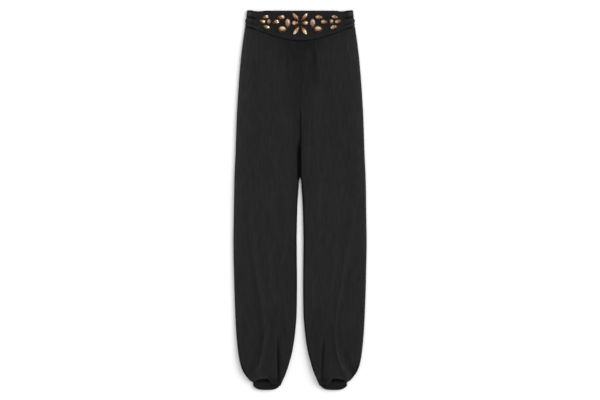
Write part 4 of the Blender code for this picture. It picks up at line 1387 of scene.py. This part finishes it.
# Shares of a stitch's length and of the thread's radius: two points with three rings between them.
STITCH_PROFILE = [(-0.5, 0.0), (-0.38, 0.8), (0.0, 1.0), (0.38, 0.8), (0.5, 0.0)]
CUFF_STITCHES = (1 / CUFF_RIBS, 0.97)       # shares of the cuff's depth at which it is stitched
YOKE_STITCH_END = 3 * MM        # unstitched rest at each end of the yoke's rows
YOKE_LINE_POINTS = 160
TWIST_PITCH = 0.5 * MM
TWIST_RISE = 0.06 * MM

THREAD = Finish("black_thread", Roughness=0.55, Specular_IOR_Level=0.25)
thread_x, thread_y, _ = THREAD.place()
twist = 0.5 + 0.5 * THREAD.maths("SINE", (thread_x + thread_y) * (2 * math.pi / TWIST_PITCH))
THREAD.surface(colour=THREAD.blend(twist, (0.006, 0.006, 0.007, 1.0), (0.018, 0.018, 0.020, 1.0)),
               bumps=((twist * TWIST_RISE, 0.5),))


def stitch_row(points, faces, line):
    """Adds stitches along a line of surface points to the lists of a mesh."""
    line = [Vector(point) for point in line]
    places = np.concatenate(([0.0], np.cumsum([(b - a).length for a, b in zip(line, line[1:])])))
    coordinates = np.array(line)
    for start in np.arange(STITCH_PITCH / 2, places[-1] - STITCH_PITCH / 2, STITCH_PITCH):
        middle, ahead = [Vector([np.interp(place, places, coordinates[:, axis]) for axis in range(3)])
                         for place in (start, start + STITCH_LENGTH / 2)]
        forward = (ahead - middle).normalized()
        aside = forward.cross(Vector((0, 0, 1))).normalized()
        up = aside.cross(forward)
        first = len(points)
        for along, size in STITCH_PROFILE:
            for side in range(THREAD_SIDES if size else 1):
                turn = 2 * math.pi * side / THREAD_SIDES
                round_off = (aside * math.cos(turn) + up * math.sin(turn)) * THREAD_RADIUS * size
                dip = up * (STITCH_LIFT - (1 - size) * 2 * THREAD_RADIUS)
                points.append(tuple(middle + forward * along * STITCH_LENGTH + round_off + dip))
        last = len(points) - 1
        for low in (first + 1, first + 1 + THREAD_SIDES):
            faces += faces_between(low, low + THREAD_SIDES, THREAD_SIDES)
        for side in range(THREAD_SIDES):
            after = (side + 1) % THREAD_SIDES
            faces.append((first, first + 1 + side, first + 1 + after))
            faces.append((last, last - THREAD_SIDES + after, last - THREAD_SIDES + side))


def stitching(name, lines, slot):
    """Rows of stitches along several lines, as one piece."""
    points, faces = [], []
    for line in lines:
        stitch_row(points, faces, line)
    return piece(name, points, faces, THREAD.material, THREAD_ANGLE, slot, [])


def yoke_lines():
    across = np.linspace(-YOKE_HALF + YOKE_STITCH_END, YOKE_HALF - YOKE_STITCH_END, YOKE_LINE_POINTS)
    for down in (waist_top(across) + STITCH_INSET, waist_seam(across) - STITCH_INSET):
        yield at(across, down, yoke_height(across, down))


def band_lines():
    """Both fronts of the elastic with most of the turn at the side, at the seams between its channels."""
    count = BAND_FRONT_STEPS + BAND_TURN_STEPS * 3 // 4
    for channel in CHANNELS[:-1]:
        ring = band_row(channel.end, 0.0)
        yield from (ring[:count], ring[-count:])


def cuff_lines(leg):
    for share in CUFF_STITCHES:
        yield cuff_row(leg, share, 0.0)[:CUFF_TOP_STEPS + 1]


yoke_thread = stitching("yoke_stitches", yoke_lines(), "yoke_cloth")
band_thread = stitching("waist_stitches", band_lines(), "elastic_band")
cuff_thread = {leg: stitching("cuff_stitches_" + leg, cuff_lines(leg), "cuff_band") for leg in SIDES}
print("points in the thread of the yoke:", len(yoke_thread.data.vertices))
